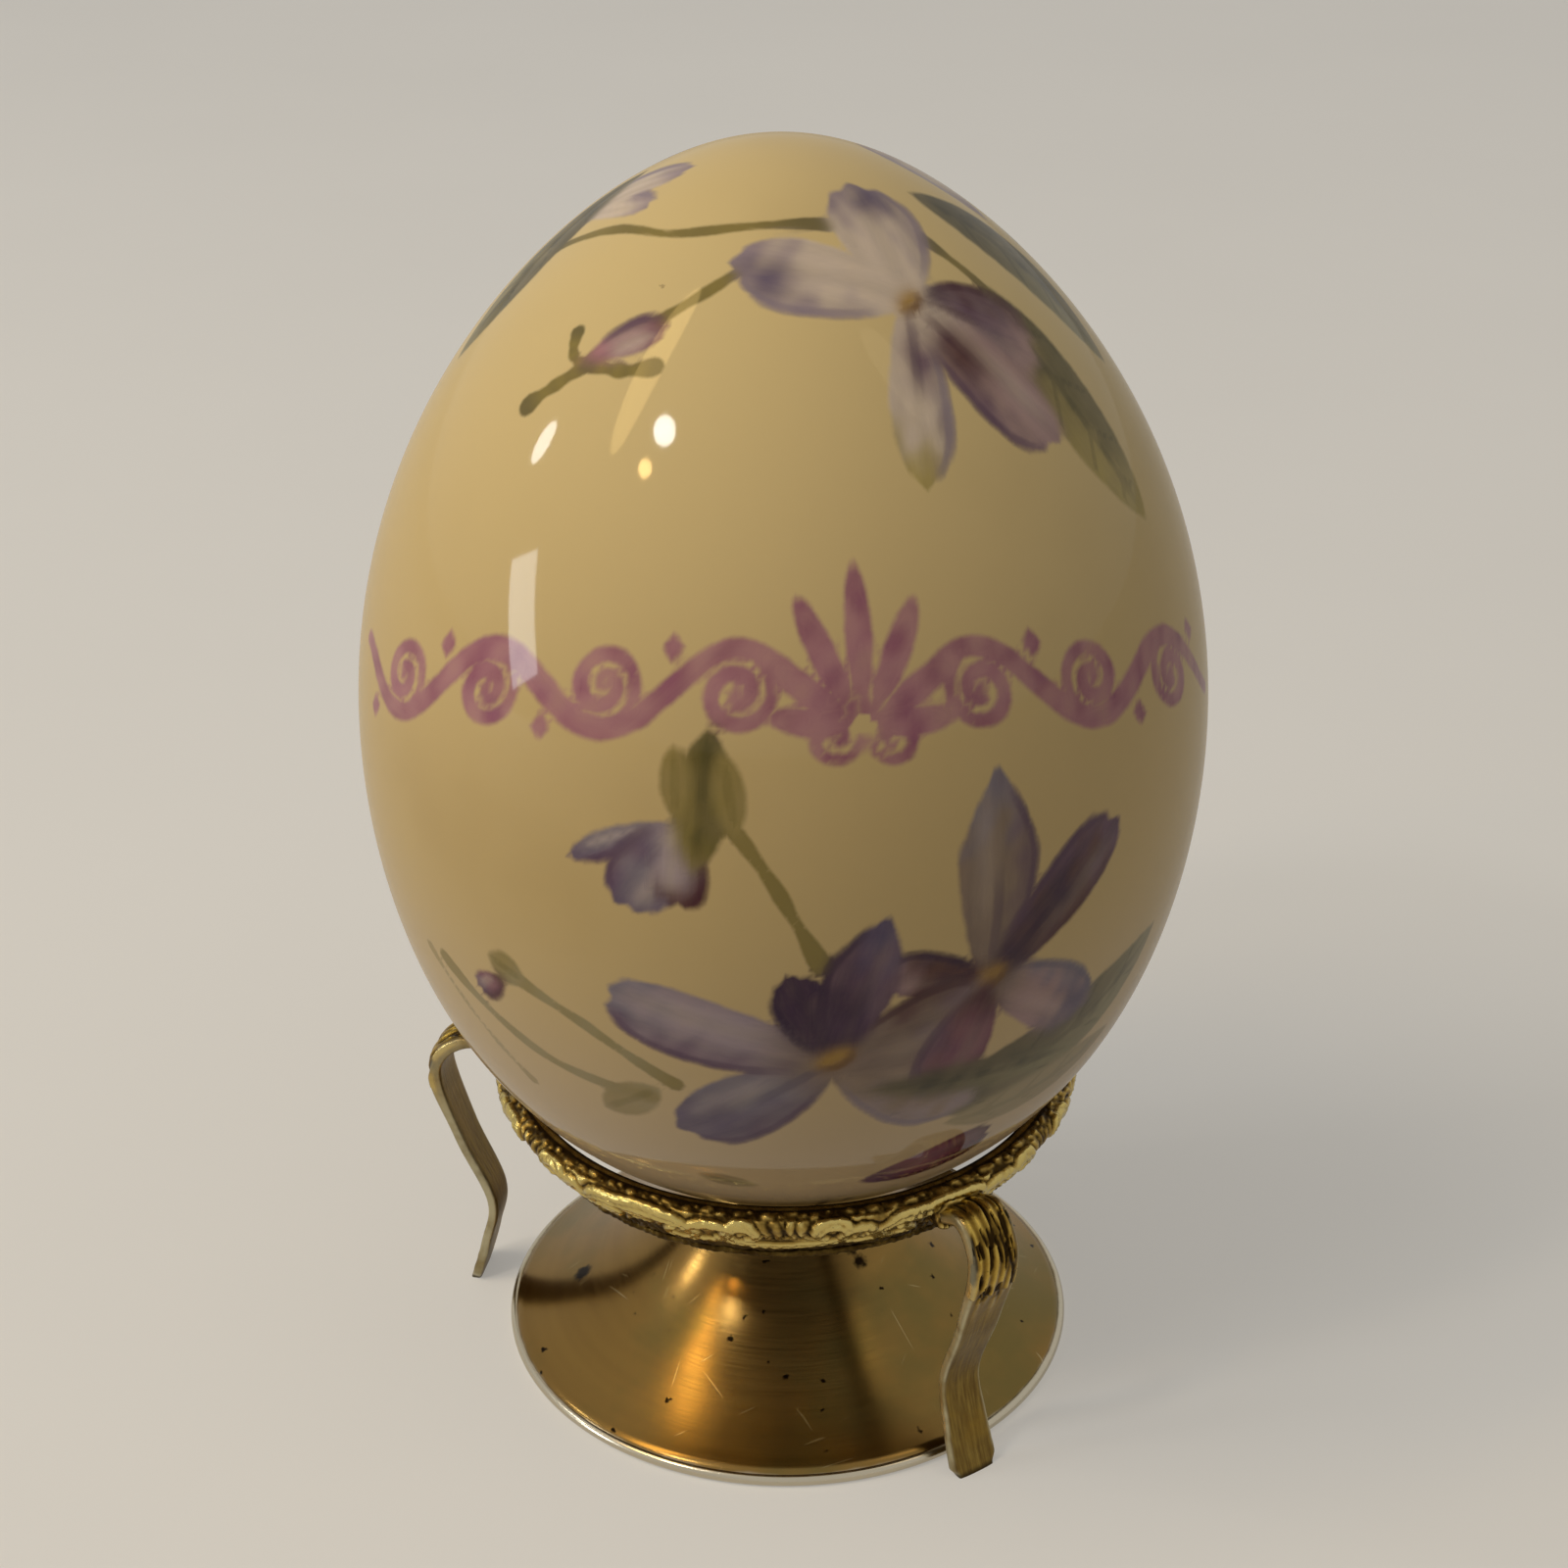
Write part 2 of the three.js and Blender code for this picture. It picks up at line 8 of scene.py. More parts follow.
import logging
from dataclasses import dataclass, field
from enum import Enum
from math import acos, cos, pi, radians, sin, sqrt
from typing import Any, Sequence

import bpy
import numpy as np
from mathutils import Matrix, Vector


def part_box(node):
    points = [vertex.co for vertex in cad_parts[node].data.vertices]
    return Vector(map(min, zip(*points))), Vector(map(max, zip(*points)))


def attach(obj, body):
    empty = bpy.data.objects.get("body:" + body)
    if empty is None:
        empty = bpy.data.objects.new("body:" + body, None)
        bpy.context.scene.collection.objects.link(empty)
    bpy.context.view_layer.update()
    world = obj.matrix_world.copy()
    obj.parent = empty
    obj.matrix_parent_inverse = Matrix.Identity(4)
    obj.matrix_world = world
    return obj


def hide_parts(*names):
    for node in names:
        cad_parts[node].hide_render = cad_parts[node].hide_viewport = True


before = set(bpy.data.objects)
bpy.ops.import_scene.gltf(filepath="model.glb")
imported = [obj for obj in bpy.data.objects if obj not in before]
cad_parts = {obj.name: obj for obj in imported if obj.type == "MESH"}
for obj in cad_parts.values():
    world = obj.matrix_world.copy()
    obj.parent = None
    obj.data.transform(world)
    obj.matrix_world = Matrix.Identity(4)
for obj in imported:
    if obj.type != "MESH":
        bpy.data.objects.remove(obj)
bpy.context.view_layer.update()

MM = 0.001
FULL_TURN = 2.0 * pi
# Vertices closer than this become one
MERGE_GAP = 0.0008 * MM
LOG = logging.getLogger("egg_on_stand")

Colour = tuple[float, float, float]
Place = tuple[float, float]
Array = np.ndarray
Piece = bpy.types.Object
Material = bpy.types.Material
Tree = bpy.types.NodeTree
Node = bpy.types.Node
Socket = bpy.types.NodeSocket

# How many numbers a vertex carries, with the kind of layer that holds them and its field
LAYER_KINDS = {1: ("FLOAT", "value"), 3: ("FLOAT_VECTOR", "vector"), 4: ("FLOAT_COLOR", "color")}
# Turn of each leg about the ring, in degrees
LEG_TURNS = {"leg_left": 169.0, "leg_front": -55.5, "leg_back": 56.5}
# How far hands have bent each leg's knee, waist and toe out, and the seed of its carving
LEGS = (("leg_left", (0.6, 0.3, 0.9), 3), ("leg_front", (-2.0, -1.7, -0.7), 1), ("leg_back", (0, 0, 0), 5))


def srgb(code: str) -> Colour:
    """Turns a six-digit screen colour into the linear values that shaders read.

    Args:
        code: Red, green and blue as two hexadecimal digits each.

    Returns:
        The linear red, green and blue.
    """
    parts = [int(code[i:i + 2], 16) / 255 for i in (0, 2, 4)]
    linear = [p / 12.92 if p <= 0.04045 else ((p + 0.055) / 1.055) ** 2.4 for p in parts]
    return (linear[0], linear[1], linear[2])


def held(value: Array) -> Array:
    """Holds values between 0 and 1."""
    return np.clip(value, 0, 1)


def ease(low: float, high: float, value: Array) -> Array:
    """Rises smoothly from 0 at low to 1 at high."""
    share = held((value - low) / (high - low))
    return share * share * (3 - 2 * share)


def lerp(start: Array, end: Array, share: Array) -> Array:
    """Mixes rows of start and end by a share for each row."""
    return start + (end - start) * np.asarray(share)[..., None]


def columns(*parts: Array) -> Array:
    """Sets columns of numbers side by side."""
    return np.stack(parts, axis=1)


class SoftNoise:
    """A smooth seeded random field, made of crossing waves."""

    wave_count = 14

    def __init__(self, seed: int, wavelength: float) -> None:
        """Draws the waves.

        Args:
            seed: Seed of the random draw.
            wavelength: Typical distance between two bumps, in the units of the points.
        """
        draw = np.random.default_rng(seed)
        ways = draw.normal(size=(self.wave_count, 3))
        ways /= np.linalg.norm(ways, axis=1)[:, None]
        lengths = wavelength * draw.uniform(0.6, 1.5, size=(self.wave_count, 1))
        self.waves = ways * FULL_TURN / lengths
        self.phases = draw.uniform(0, FULL_TURN, size=self.wave_count)

    def __call__(self, points: Array) -> Array:
        """Gives the field at each point, mostly between -1 and 1."""
        values = np.sin(points @ self.waves.T + self.phases)
        return values.sum(axis=1) / sqrt(len(self.phases)) / 1.4


def directions(path: Array) -> Array:
    """Gives a path's unit direction at each of its corners."""
    runs = np.gradient(path, axis=0)
    return runs / np.linalg.norm(runs, axis=1)[:, None]


def read_path(wanted: Array, known: Array, path: Array) -> Array:
    """Reads places of a path at wanted measures, from the measures known at its corners."""
    return np.stack([np.interp(wanted, known, path[:, axis]) for axis in (0, 1)], axis=1)


def travelled(steps: Array) -> Array:
    """Adds steps up to the way travelled at each corner."""
    return np.concatenate([[0], np.cumsum(steps)])


def even_places(path: Array, count: int) -> Array:
    """Gives evenly spaced places along a path."""
    ways = travelled(np.linalg.norm(np.diff(path, axis=0), axis=1))
    return read_path(np.linspace(0, ways[-1], count), ways, path)


def swept(controls: Sequence[Array], count: int) -> Array:
    """Gives places of the curve that four control places steer.

    Args:
        controls: The two ends, and between them the two places that steer it.
        count: How many places are given back.

    Returns:
        The places, one row each.
    """
    share = np.linspace(0, 1, count)[:, None]
    weights = ((1 - share) ** 3, 3 * share * (1 - share) ** 2, 3 * share ** 2 * (1 - share), share ** 3)
    return sum(weight * control for weight, control in zip(weights, controls))


def turned(points: Array, degrees: float) -> Array:
    """Turns rows of places about the Z axis.

    Args:
        points: The places, one row each.
        degrees: The turn, anticlockwise seen from above.

    Returns:
        The turned places.
    """
    cosine, sine = cos(radians(degrees)), sin(radians(degrees))
    x, y, z = points.T
    return columns(x * cosine - y * sine, x * sine + y * cosine, z)


def smooth_line(points: Sequence[Place], count: int) -> tuple[Array, Array]:
    """Draws an even, smooth line through points of the plane.

    Args:
        points: The points that it passes, in order.
        count: How many evenly spaced places are given back.

    Returns:
        The places and the unit directions there.
    """
    knots = np.array([points[0], *points, points[-1]], float)
    shares = np.linspace(0, 1, 40, endpoint=False)[:, None]
    pieces = []
    for first, second, third, fourth in zip(knots, knots[1:], knots[2:], knots[3:]):
        start, end = (third - first) / 2, (fourth - second) / 2
        cubic = (2 * second - 2 * third + start + end) * shares ** 3
        square = (-3 * second + 3 * third - 2 * start - end) * shares ** 2
        pieces.append(cubic + square + start * shares + second)
    places = even_places(np.vstack([*pieces, knots[-1:]]), count)
    return places, directions(places)


def path_distance(across: Array, up: Array, path: Array) -> tuple[Array, Array]:
    """Measures how far points of the plane lie from a path.

    Args:
        across: First coordinate of each point.
        up: Second coordinate of each point.
        path: The corners of the path, one row each.

    Returns:
        The distance, and how much of the path is passed at the nearest place.
    """
    nearest = np.full(across.shape, 1e9)
    share = np.zeros(across.shape)
    for i, (start, end) in enumerate(zip(path, path[1:])):
        run = end - start
        length = max(float(run @ run), 1e-12)
        along = held(((across - start[0]) * run[0] + (up - start[1]) * run[1]) / length)
        gap = np.hypot(across - start[0] - along * run[0], up - start[1] - along * run[1])
        closer = gap < nearest
        nearest = np.where(closer, gap, nearest)
        share = np.where(closer, (i + along) / (len(path) - 1), share)
    return nearest, share


# Mesh building


def deselect() -> None:
    """Leaves edit mode and deselects everything."""
    if bpy.context.object is not None and bpy.context.object.mode != "OBJECT":
        bpy.ops.object.mode_set(mode="OBJECT")
    bpy.ops.object.select_all(action="DESELECT")


def pick(piece: Piece) -> None:
    """Selects one piece alone and makes it the active one.

    Args:
        piece: The mesh object.
    """
    deselect()
    piece.select_set(True)
    bpy.context.view_layer.objects.active = piece


def vertex_array(piece: Piece) -> Array:
    """Reads a mesh's vertices as rows of millimetres.

    Args:
        piece: The mesh object.

    Returns:
        The places, one row each.
    """
    flat = np.empty(len(piece.data.vertices) * 3, np.float32)
    piece.data.vertices.foreach_get("co", flat)
    return flat.reshape(-1, 3).astype(float) / MM


def set_vertices(piece: Piece, places: Array) -> None:
    """Moves a mesh's vertices to rows of millimetres."""
    piece.data.vertices.foreach_set("co", (places * MM).astype(np.float32).ravel())
    piece.data.update()


def mend_shell(piece: Piece, fill: bool = False) -> None:
    """Merges doubled vertices, closes open ends where asked, and turns all faces outwards.

    Args:
        piece: The mesh object.
        fill: Whether open ends get a face.
    """
    bpy.context.view_layer.objects.active = piece
    bpy.ops.object.mode_set(mode="EDIT")
    bpy.ops.mesh.select_all(action="SELECT")
    bpy.ops.mesh.remove_doubles(threshold=MERGE_GAP)
    if fill:
        bpy.ops.mesh.select_all(action="DESELECT")
        bpy.ops.mesh.select_non_manifold()
        bpy.ops.mesh.edge_face_add()
        bpy.ops.mesh.select_all(action="SELECT")
    bpy.ops.mesh.normals_make_consistent(inside=False)
    bpy.ops.object.mode_set(mode="OBJECT")


def spun(name: str, profile: Sequence[Place], steps: int, closed: bool = True) -> Piece:
    """Turns a profile about the Z axis into a closed shell.

    Args:
        name: Name of the new object.
        profile: Points of radius and height.
        steps: How many steps make the full turn.
        closed: Whether the profile is a loop. An open one starts and ends on the axis.

    Returns:
        The new object.
    """
    deselect()
    bpy.ops.mesh.primitive_circle_add(vertices=len(profile), radius=0.1)
    piece = bpy.context.active_object
    piece.name = name
    piece.data.name = name
    set_vertices(piece, np.array([(radius, 0, height) for radius, height in profile]))
    if not closed:
        ends = {0, len(profile) - 1}
        for edge in piece.data.edges:
            edge.select = set(edge.vertices) == ends
        for vertex in piece.data.vertices:
            vertex.select = False
        bpy.ops.object.mode_set(mode="EDIT")
        bpy.context.tool_settings.mesh_select_mode = (False, True, False)
        bpy.ops.mesh.delete(type="EDGE")
        bpy.context.tool_settings.mesh_select_mode = (True, False, False)
        bpy.ops.object.mode_set(mode="OBJECT")
    turning = piece.modifiers.new("turning", "SCREW")
    turning.steps = steps
    turning.render_steps = steps
    turning.use_merge_vertices = True
    turning.merge_threshold = MERGE_GAP
    turning.use_smooth_shade = False
    bpy.ops.object.modifier_apply(modifier=turning.name)
    mend_shell(piece)
    return piece


def grid_piece(name: str, around: int, along: int) -> tuple[Piece, Array, Array]:
    """Adds a flat grid whose vertices a caller then wraps into a tube.

    Args:
        name: Name of the new object.
        around: Cells round the tube.
        along: Cells along the tube.

    Returns:
        The object, and each vertex's share of the way round and along.
    """
    deselect()
    bpy.ops.mesh.primitive_grid_add(x_subdivisions=around, y_subdivisions=along, size=1)
    piece = bpy.context.active_object
    piece.name = name
    piece.data.name = name
    flat = vertex_array(piece) * MM
    return piece, flat[:, 0] + 0.5, flat[:, 1] + 0.5


def block(size: Sequence[float], centre: Sequence[float]) -> Piece:
    """Adds a block.

    Args:
        size: Its lengths along X, Y and Z.
        centre: Where its middle lies.

    Returns:
        The new object.
    """
    deselect()
    bpy.ops.mesh.primitive_cube_add(size=1)
    piece = bpy.context.active_object
    set_vertices(piece, vertex_array(piece) * MM * size + centre)
    return piece


def add_layer(piece: Piece, name: str, rows: Array) -> None:
    """Stores numbers or a colour for each vertex under a name that a material reads.

    Args:
        piece: The mesh object.
        name: The layer's name.
        rows: One, three or four numbers for each vertex.
    """
    kind, number = LAYER_KINDS[rows.size // len(rows)]
    layer = piece.data.attributes.new(name, kind, "POINT")
    layer.data.foreach_set(number, rows.astype(np.float32).ravel())


def join_pieces(main: Piece, others: Sequence[Piece]) -> None:
    """Joins other meshes into the main one.

    Args:
        main: The piece that stays.
        others: The pieces that become part of it.
    """
    pick(main)
    for other in others:
        other.select_set(True)
    bpy.ops.object.join()


def finish_piece(piece: Piece, material: Material, body: str, slot: str, node: str, crease: float) -> None:
    """Smooths, dresses and seats a finished piece.

    Args:
        piece: The mesh object.
        material: Its finish.
        body: The moving body that it rides on.
        slot: The record's material slot.
        node: The solid that it stands for.
        crease: Edges sharper than this many degrees stay crisp.
    """
    pick(piece)
    bpy.ops.object.shade_smooth_by_angle(angle=radians(crease))
    piece.data.materials.clear()
    piece.data.materials.append(material)
    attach(piece, body)
    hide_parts(node)
    triangles = sum(len(face.vertices) - 2 for face in piece.data.polygons)
    LOG.info("%s rides on %s in %s: %d triangles", piece.name, body, slot, triangles)


# Node writing


class NodeWriter:
    """Adds and joins the nodes of one material or group."""

    def __init__(self, tree: Tree) -> None:
        """Keeps the tree that nodes go into."""
        self.tree = tree

    def add(self, kind: str, inputs: dict[Any, Any] | None = None, **settings: Any) -> Node:
        """Adds a node.

        Args:
            kind: The node's type name, without ShaderNode before it.
            inputs: Values or sockets for its inputs, by name or number.
            settings: Properties of the node.

        Returns:
            The node.
        """
        node = self.tree.nodes.new("ShaderNode" + kind)
        for key, value in settings.items():
            setattr(node, key, value)
        for key, value in (inputs or {}).items():
            self.feed(node.inputs[key], value)
        return node

    def feed(self, socket: Socket, value: Any) -> None:
        """Links a socket to an input, or sets the input's plain value.

        Args:
            socket: The input.
            value: A socket to link, or a plain value.
        """
        if isinstance(value, Socket):
            self.tree.links.new(value, socket)
        elif isinstance(value, tuple) and len(value) == 3 and socket.type == "RGBA":
            socket.default_value = (*value, 1)
        else:
            socket.default_value = value

    def math(self, operation: str, first: Any, second: Any = 0) -> Socket:
        """Adds a Math node and returns its result."""
        return self.add("Math", {0: first, 1: second}, operation=operation).outputs[0]

    def times(self, first: Any, second: Any) -> Socket:
        """Multiplies two values."""
        return self.math("MULTIPLY", first, second)

    def mix(self, share: Any, first: Any, second: Any, blend: str = "MIX") -> Socket:
        """Mixes two colours by a share and returns the colour."""
        return self.add("Mix", {0: share, 6: first, 7: second}, data_type="RGBA", blend_type=blend).outputs[2]

    def ramp(self, value: Any, low: Any, high: Any, start: Any = 0, end: Any = 1) -> Socket:
        """Maps low to high smoothly onto start to end."""
        return self.add("MapRange", {0: value, 1: low, 2: high, 3: start, 4: end},
                        interpolation_type="SMOOTHSTEP").outputs[0]

    def noise(self, vector: Any, scale: Any, detail: float = 3.0, rough: float = 0.55) -> Socket:
        """Adds a noise field from 0 to 1 and returns it."""
        node = self.add("TexNoise", {"Vector": vector, "Scale": scale, "Detail": detail, "Roughness": rough})
        return node.outputs[0]

    def place(self) -> Socket:
        """Returns the piece's own coordinates."""
        return self.add("TexCoord").outputs["Object"]

    def stretched(self, vector: Any, scale: Any) -> Socket:
        """Stretches a vector field."""
        return self.add("Mapping", {"Vector": vector, "Scale": scale}).outputs[0]

    def axes(self, vector: Any) -> Any:
        """Splits a vector and returns its three numbers."""
        return self.add("SeparateXYZ", {0: vector}).outputs

    def joined(self, x: Any, y: Any, z: Any = 0) -> Socket:
        """Joins three numbers to a vector."""
        return self.add("CombineXYZ", {0: x, 1: y, 2: z}).outputs[0]

    def height(self, place: Any) -> Socket:
        """Returns the height above the table in millimetres."""
        return self.times(self.axes(place)[2], 1 / MM)

    def flat_length(self, flat: Any) -> Socket:
        """Returns the length of a vector."""
        return self.add("VectorMath", {0: flat}, operation="LENGTH").outputs["Value"]

    def bump(self, height: Any, distance: float, strength: float) -> Socket:
        """Turns a height field into a normal."""
        return self.add("Bump", {"Height": height, "Distance": distance, "Strength": strength}).outputs[0]

    def attribute(self, name: str) -> Any:
        """Returns the outputs of a reader for values that a mesh carries."""
        return self.add("Attribute", attribute_name=name).outputs

    def seen(self) -> Socket:
        """Gives 1 for rays that show the surroundings to the camera, also in metal and glaze.

        Returns:
            The number, 0 or 1.
        """
        path = self.add("LightPath").outputs
        mirrored = self.math("MAXIMUM", path["Is Glossy Ray"], path["Is Transmission Ray"])
        return self.math("MAXIMUM", path["Is Camera Ray"], mirrored)

    def effect(self, kind: type[SharedEffect], inputs: dict[str, Any]) -> Any:
        """Places a shared effect with this material's own values and returns its outputs."""
        return self.add("Group", inputs, node_tree=kind.tree()).outputs


class SharedEffect:
    """A node group with named inputs and outputs, built once for all materials."""

    name = "effect"
    inputs: Sequence[tuple[str, str, Any]] = ()
    outputs: Sequence[tuple[str, str]] = ()
    built: dict[str, Tree] = {}

    @classmethod
    def tree(cls) -> Tree:
        """Builds the group the first time that it is asked for.

        Returns:
            The group.
        """
        if cls.name not in SharedEffect.built:
            tree = bpy.data.node_groups.new(cls.name, "ShaderNodeTree")
            for label, kind, default in cls.inputs:
                socket = tree.interface.new_socket(label, in_out="INPUT", socket_type="NodeSocket" + kind)
                if default is not None:
                    socket.default_value = default
            for label, kind in cls.outputs:
                tree.interface.new_socket(label, in_out="OUTPUT", socket_type="NodeSocket" + kind)
            writer = NodeWriter(tree)
            results = cls().draw(writer, tree.nodes.new("NodeGroupInput").outputs)
            sink = tree.nodes.new("NodeGroupOutput")
            for label, result in results.items():
                writer.feed(sink.inputs[label], result)
            SharedEffect.built[cls.name] = tree
        return SharedEffect.built[cls.name]

    def draw(self, w: NodeWriter, source: Any) -> dict[str, Socket]:
        """Adds the effect's nodes and returns its outputs by name."""
        raise NotImplementedError


class PaintLayerEffect(SharedEffect):
    """Lays a painted colour over a ground, with a soft edge where the paint ends."""

    name = "painted_layer"
    inputs = (("Ground", "Color", None), ("Tint", "Color", None),
              ("Density", "Float", 1), ("Edge", "Float", 0),
              ("Softness", "Float", 0.2), ("Wander", "Float", 0))
    outputs = (("Colour", "Color"), ("Cover", "Float"))

    def draw(self, w: NodeWriter, source: Any) -> dict[str, Socket]:
        """Turns the distance to the paint's edge into cover.

        Args:
            w: The group's node writer.
            source: The group's inputs.

        Returns:
            The outputs by name.
        """
        edge = w.math("ADD", source["Edge"], source["Wander"])
        inner = source["Softness"]
        outer = w.times(inner, -1)
        cover = w.times(w.ramp(edge, outer, inner), source["Density"])
        return {"Colour": w.mix(cover, source["Ground"], source["Tint"]), "Cover": cover}


class SpeckEffect(SharedEffect):
    """Sparse round specks, such as iron spots in a glaze or pits in lacquer."""

    name = "specks"
    inputs = (("Vector", "Vector", None), ("Scale", "Float", 300),
              ("Size", "Float", 0.12), ("Amount", "Float", 0.1))
    outputs = (("Mask", "Float"),)

    def draw(self, w: NodeWriter, source: Any) -> dict[str, Socket]:
        """Keeps a few cells of a cell pattern and marks their middles.

        Args:
            w: The group's node writer.
            source: The group's inputs.

        Returns:
            The outputs by name.
        """
        wobble = w.add("TexNoise", {"Vector": source["Vector"], "Scale": 1500, "Detail": 2})
        shifted = w.add("VectorMath", {0: wobble.outputs["Color"], 1: (0.0011, 0.0011, 0.0011)},
                        operation="MULTIPLY")
        vector = w.add("VectorMath", {0: source["Vector"], 1: shifted.outputs[0]}, operation="ADD")
        cells = w.add("TexVoronoi", {"Vector": vector.outputs[0], "Scale": source["Scale"]})
        chance = w.add("SeparateColor", {0: cells.outputs["Color"]})
        size = w.times(source["Size"], w.math("ADD", chance.outputs[1], 0.35))
        spot = w.ramp(cells.outputs["Distance"], w.times(size, 0.5), size, 1, 0)
        kept = w.math("LESS_THAN", chance.outputs[0], source["Amount"])
        return {"Mask": w.times(spot, kept)}


class ScratchEffect(SharedEffect):
    """Short fine scratches that run in three crossing directions."""

    name = "scratches"
    inputs = (("Vector", "Vector", None), ("Fineness", "Float", 1), ("Amount", "Float", 0.3))
    outputs = (("Mask", "Float"),)

    def draw(self, w: NodeWriter, source: Any) -> dict[str, Socket]:
        """Keeps the crests of three stretched noise fields.

        Args:
            w: The group's node writer.
            source: The group's inputs.

        Returns:
            The outputs by name.
        """
        total: Any = 0
        low = w.math("SUBTRACT", 0.86, w.times(source["Amount"], 0.2))
        axes = w.axes(source["Vector"])
        for turn, shift in ((0.35, 0), (1.25, 7), (2.5, 19)):
            plan = w.joined(axes[0], axes[1])
            turned = w.add("VectorRotate", {"Vector": plan, "Angle": turn}, rotation_type="Z_AXIS")
            lines = w.add("Mapping", {"Vector": turned.outputs[0], "Scale": (2600, 130, 1),
                                      "Location": (0, 0, shift)}).outputs[0]
            line = w.ramp(w.noise(lines, source["Fineness"], 1), low, w.math("ADD", low, 0.03))
            total = w.math("MAXIMUM", total, line)
        return {"Mask": total}


class TurnedMarksEffect(SharedEffect):
    """Fine rings left by the lathe on a spun piece, broken up a little round the turn."""

    name = "turned_marks"
    inputs = (("Vector", "Vector", None), ("Rings", "Float", 2400), ("Breaks", "Float", 3))
    outputs = (("Mask", "Float"),)

    def draw(self, w: NodeWriter, source: Any) -> dict[str, Socket]:
        """Reads a noise field by radius and height, with the direction as a slow third value.

        Args:
            w: The group's node writer.
            source: The group's inputs.

        Returns:
            The outputs by name.
        """
        axes = w.axes(source["Vector"])
        flat = w.joined(axes[0], axes[1])
        radius = w.flat_length(flat)
        away = w.axes(w.add("VectorMath", {0: flat}, operation="NORMALIZE").outputs[0])
        rings = w.times(w.math("SUBTRACT", radius, axes[2]), source["Rings"])
        east, north = (w.times(away[axis], source["Breaks"]) for axis in (0, 1))
        return {"Mask": w.noise(w.joined(east, north, rings), 1, 2, 0.6)}


class GildedReliefEffect(SharedEffect):
    """Colour of gilding over relief: crests painted lighter as painted highlight, hollows brown with old
    lacquer and darker still as painted shade.
    """

    name = "gilded_relief"
    inputs = (("Vector", "Vector", None), ("Relief", "Float", 0.5),
              ("LitCrest", "Color", None), ("Field", "Color", None),
              ("HollowShadeAndPatina", "Color", None))
    outputs = (("Colour", "Color"), ("Rough", "Float"))

    def draw(self, w: NodeWriter, source: Any) -> dict[str, Socket]:
        """Mixes three tones by the height of the relief and a patchy field.

        Args:
            w: The group's node writer.
            source: The group's inputs.

        Returns:
            The outputs by name.
        """
        patch = w.noise(source["Vector"], 420, 4, 0.6)
        fine = w.noise(source["Vector"], 2600, 3, 0.6)
        shift = w.times(w.math("SUBTRACT", patch, 0.5), 0.7)
        height = w.math("ADD", source["Relief"], shift)
        # Painted shade in the hollows and painted highlight on the crests, set by the relief's height
        low = w.mix(w.ramp(height, 0.12, 0.6), source["HollowShadeAndPatina"], source["Field"])
        colour = w.mix(w.ramp(height, 0.5, 0.95), low, source["LitCrest"])
        grime = w.mix(w.ramp(fine, 0.62, 0.78, 0, 0.55), colour, source["HollowShadeAndPatina"])
        rough = w.ramp(height, 0, 0.8, 0.46, 0.2)
        return {"Colour": grime, "Rough": w.math("ADD", rough, w.times(fine, 0.08))}


# Finishes


class Finish:
    """A surface finish, whose subclasses say what their shader's inputs get."""

    name = "finish"

    def material(self) -> Material:
        """Builds the finish's nodes.

        Returns:
            The material.
        """
        material = bpy.data.materials.new(self.name)
        material.use_nodes = True
        material.node_tree.nodes.clear()
        writer = NodeWriter(material.node_tree)
        shader = writer.add("BsdfPrincipled", self.draw(writer))
        writer.add("OutputMaterial", {"Surface": shader.outputs[0]})
        return material

    def draw(self, w: NodeWriter) -> dict[str, Any]:
        """Adds the finish's nodes and returns the shader's inputs by name."""
        raise NotImplementedError


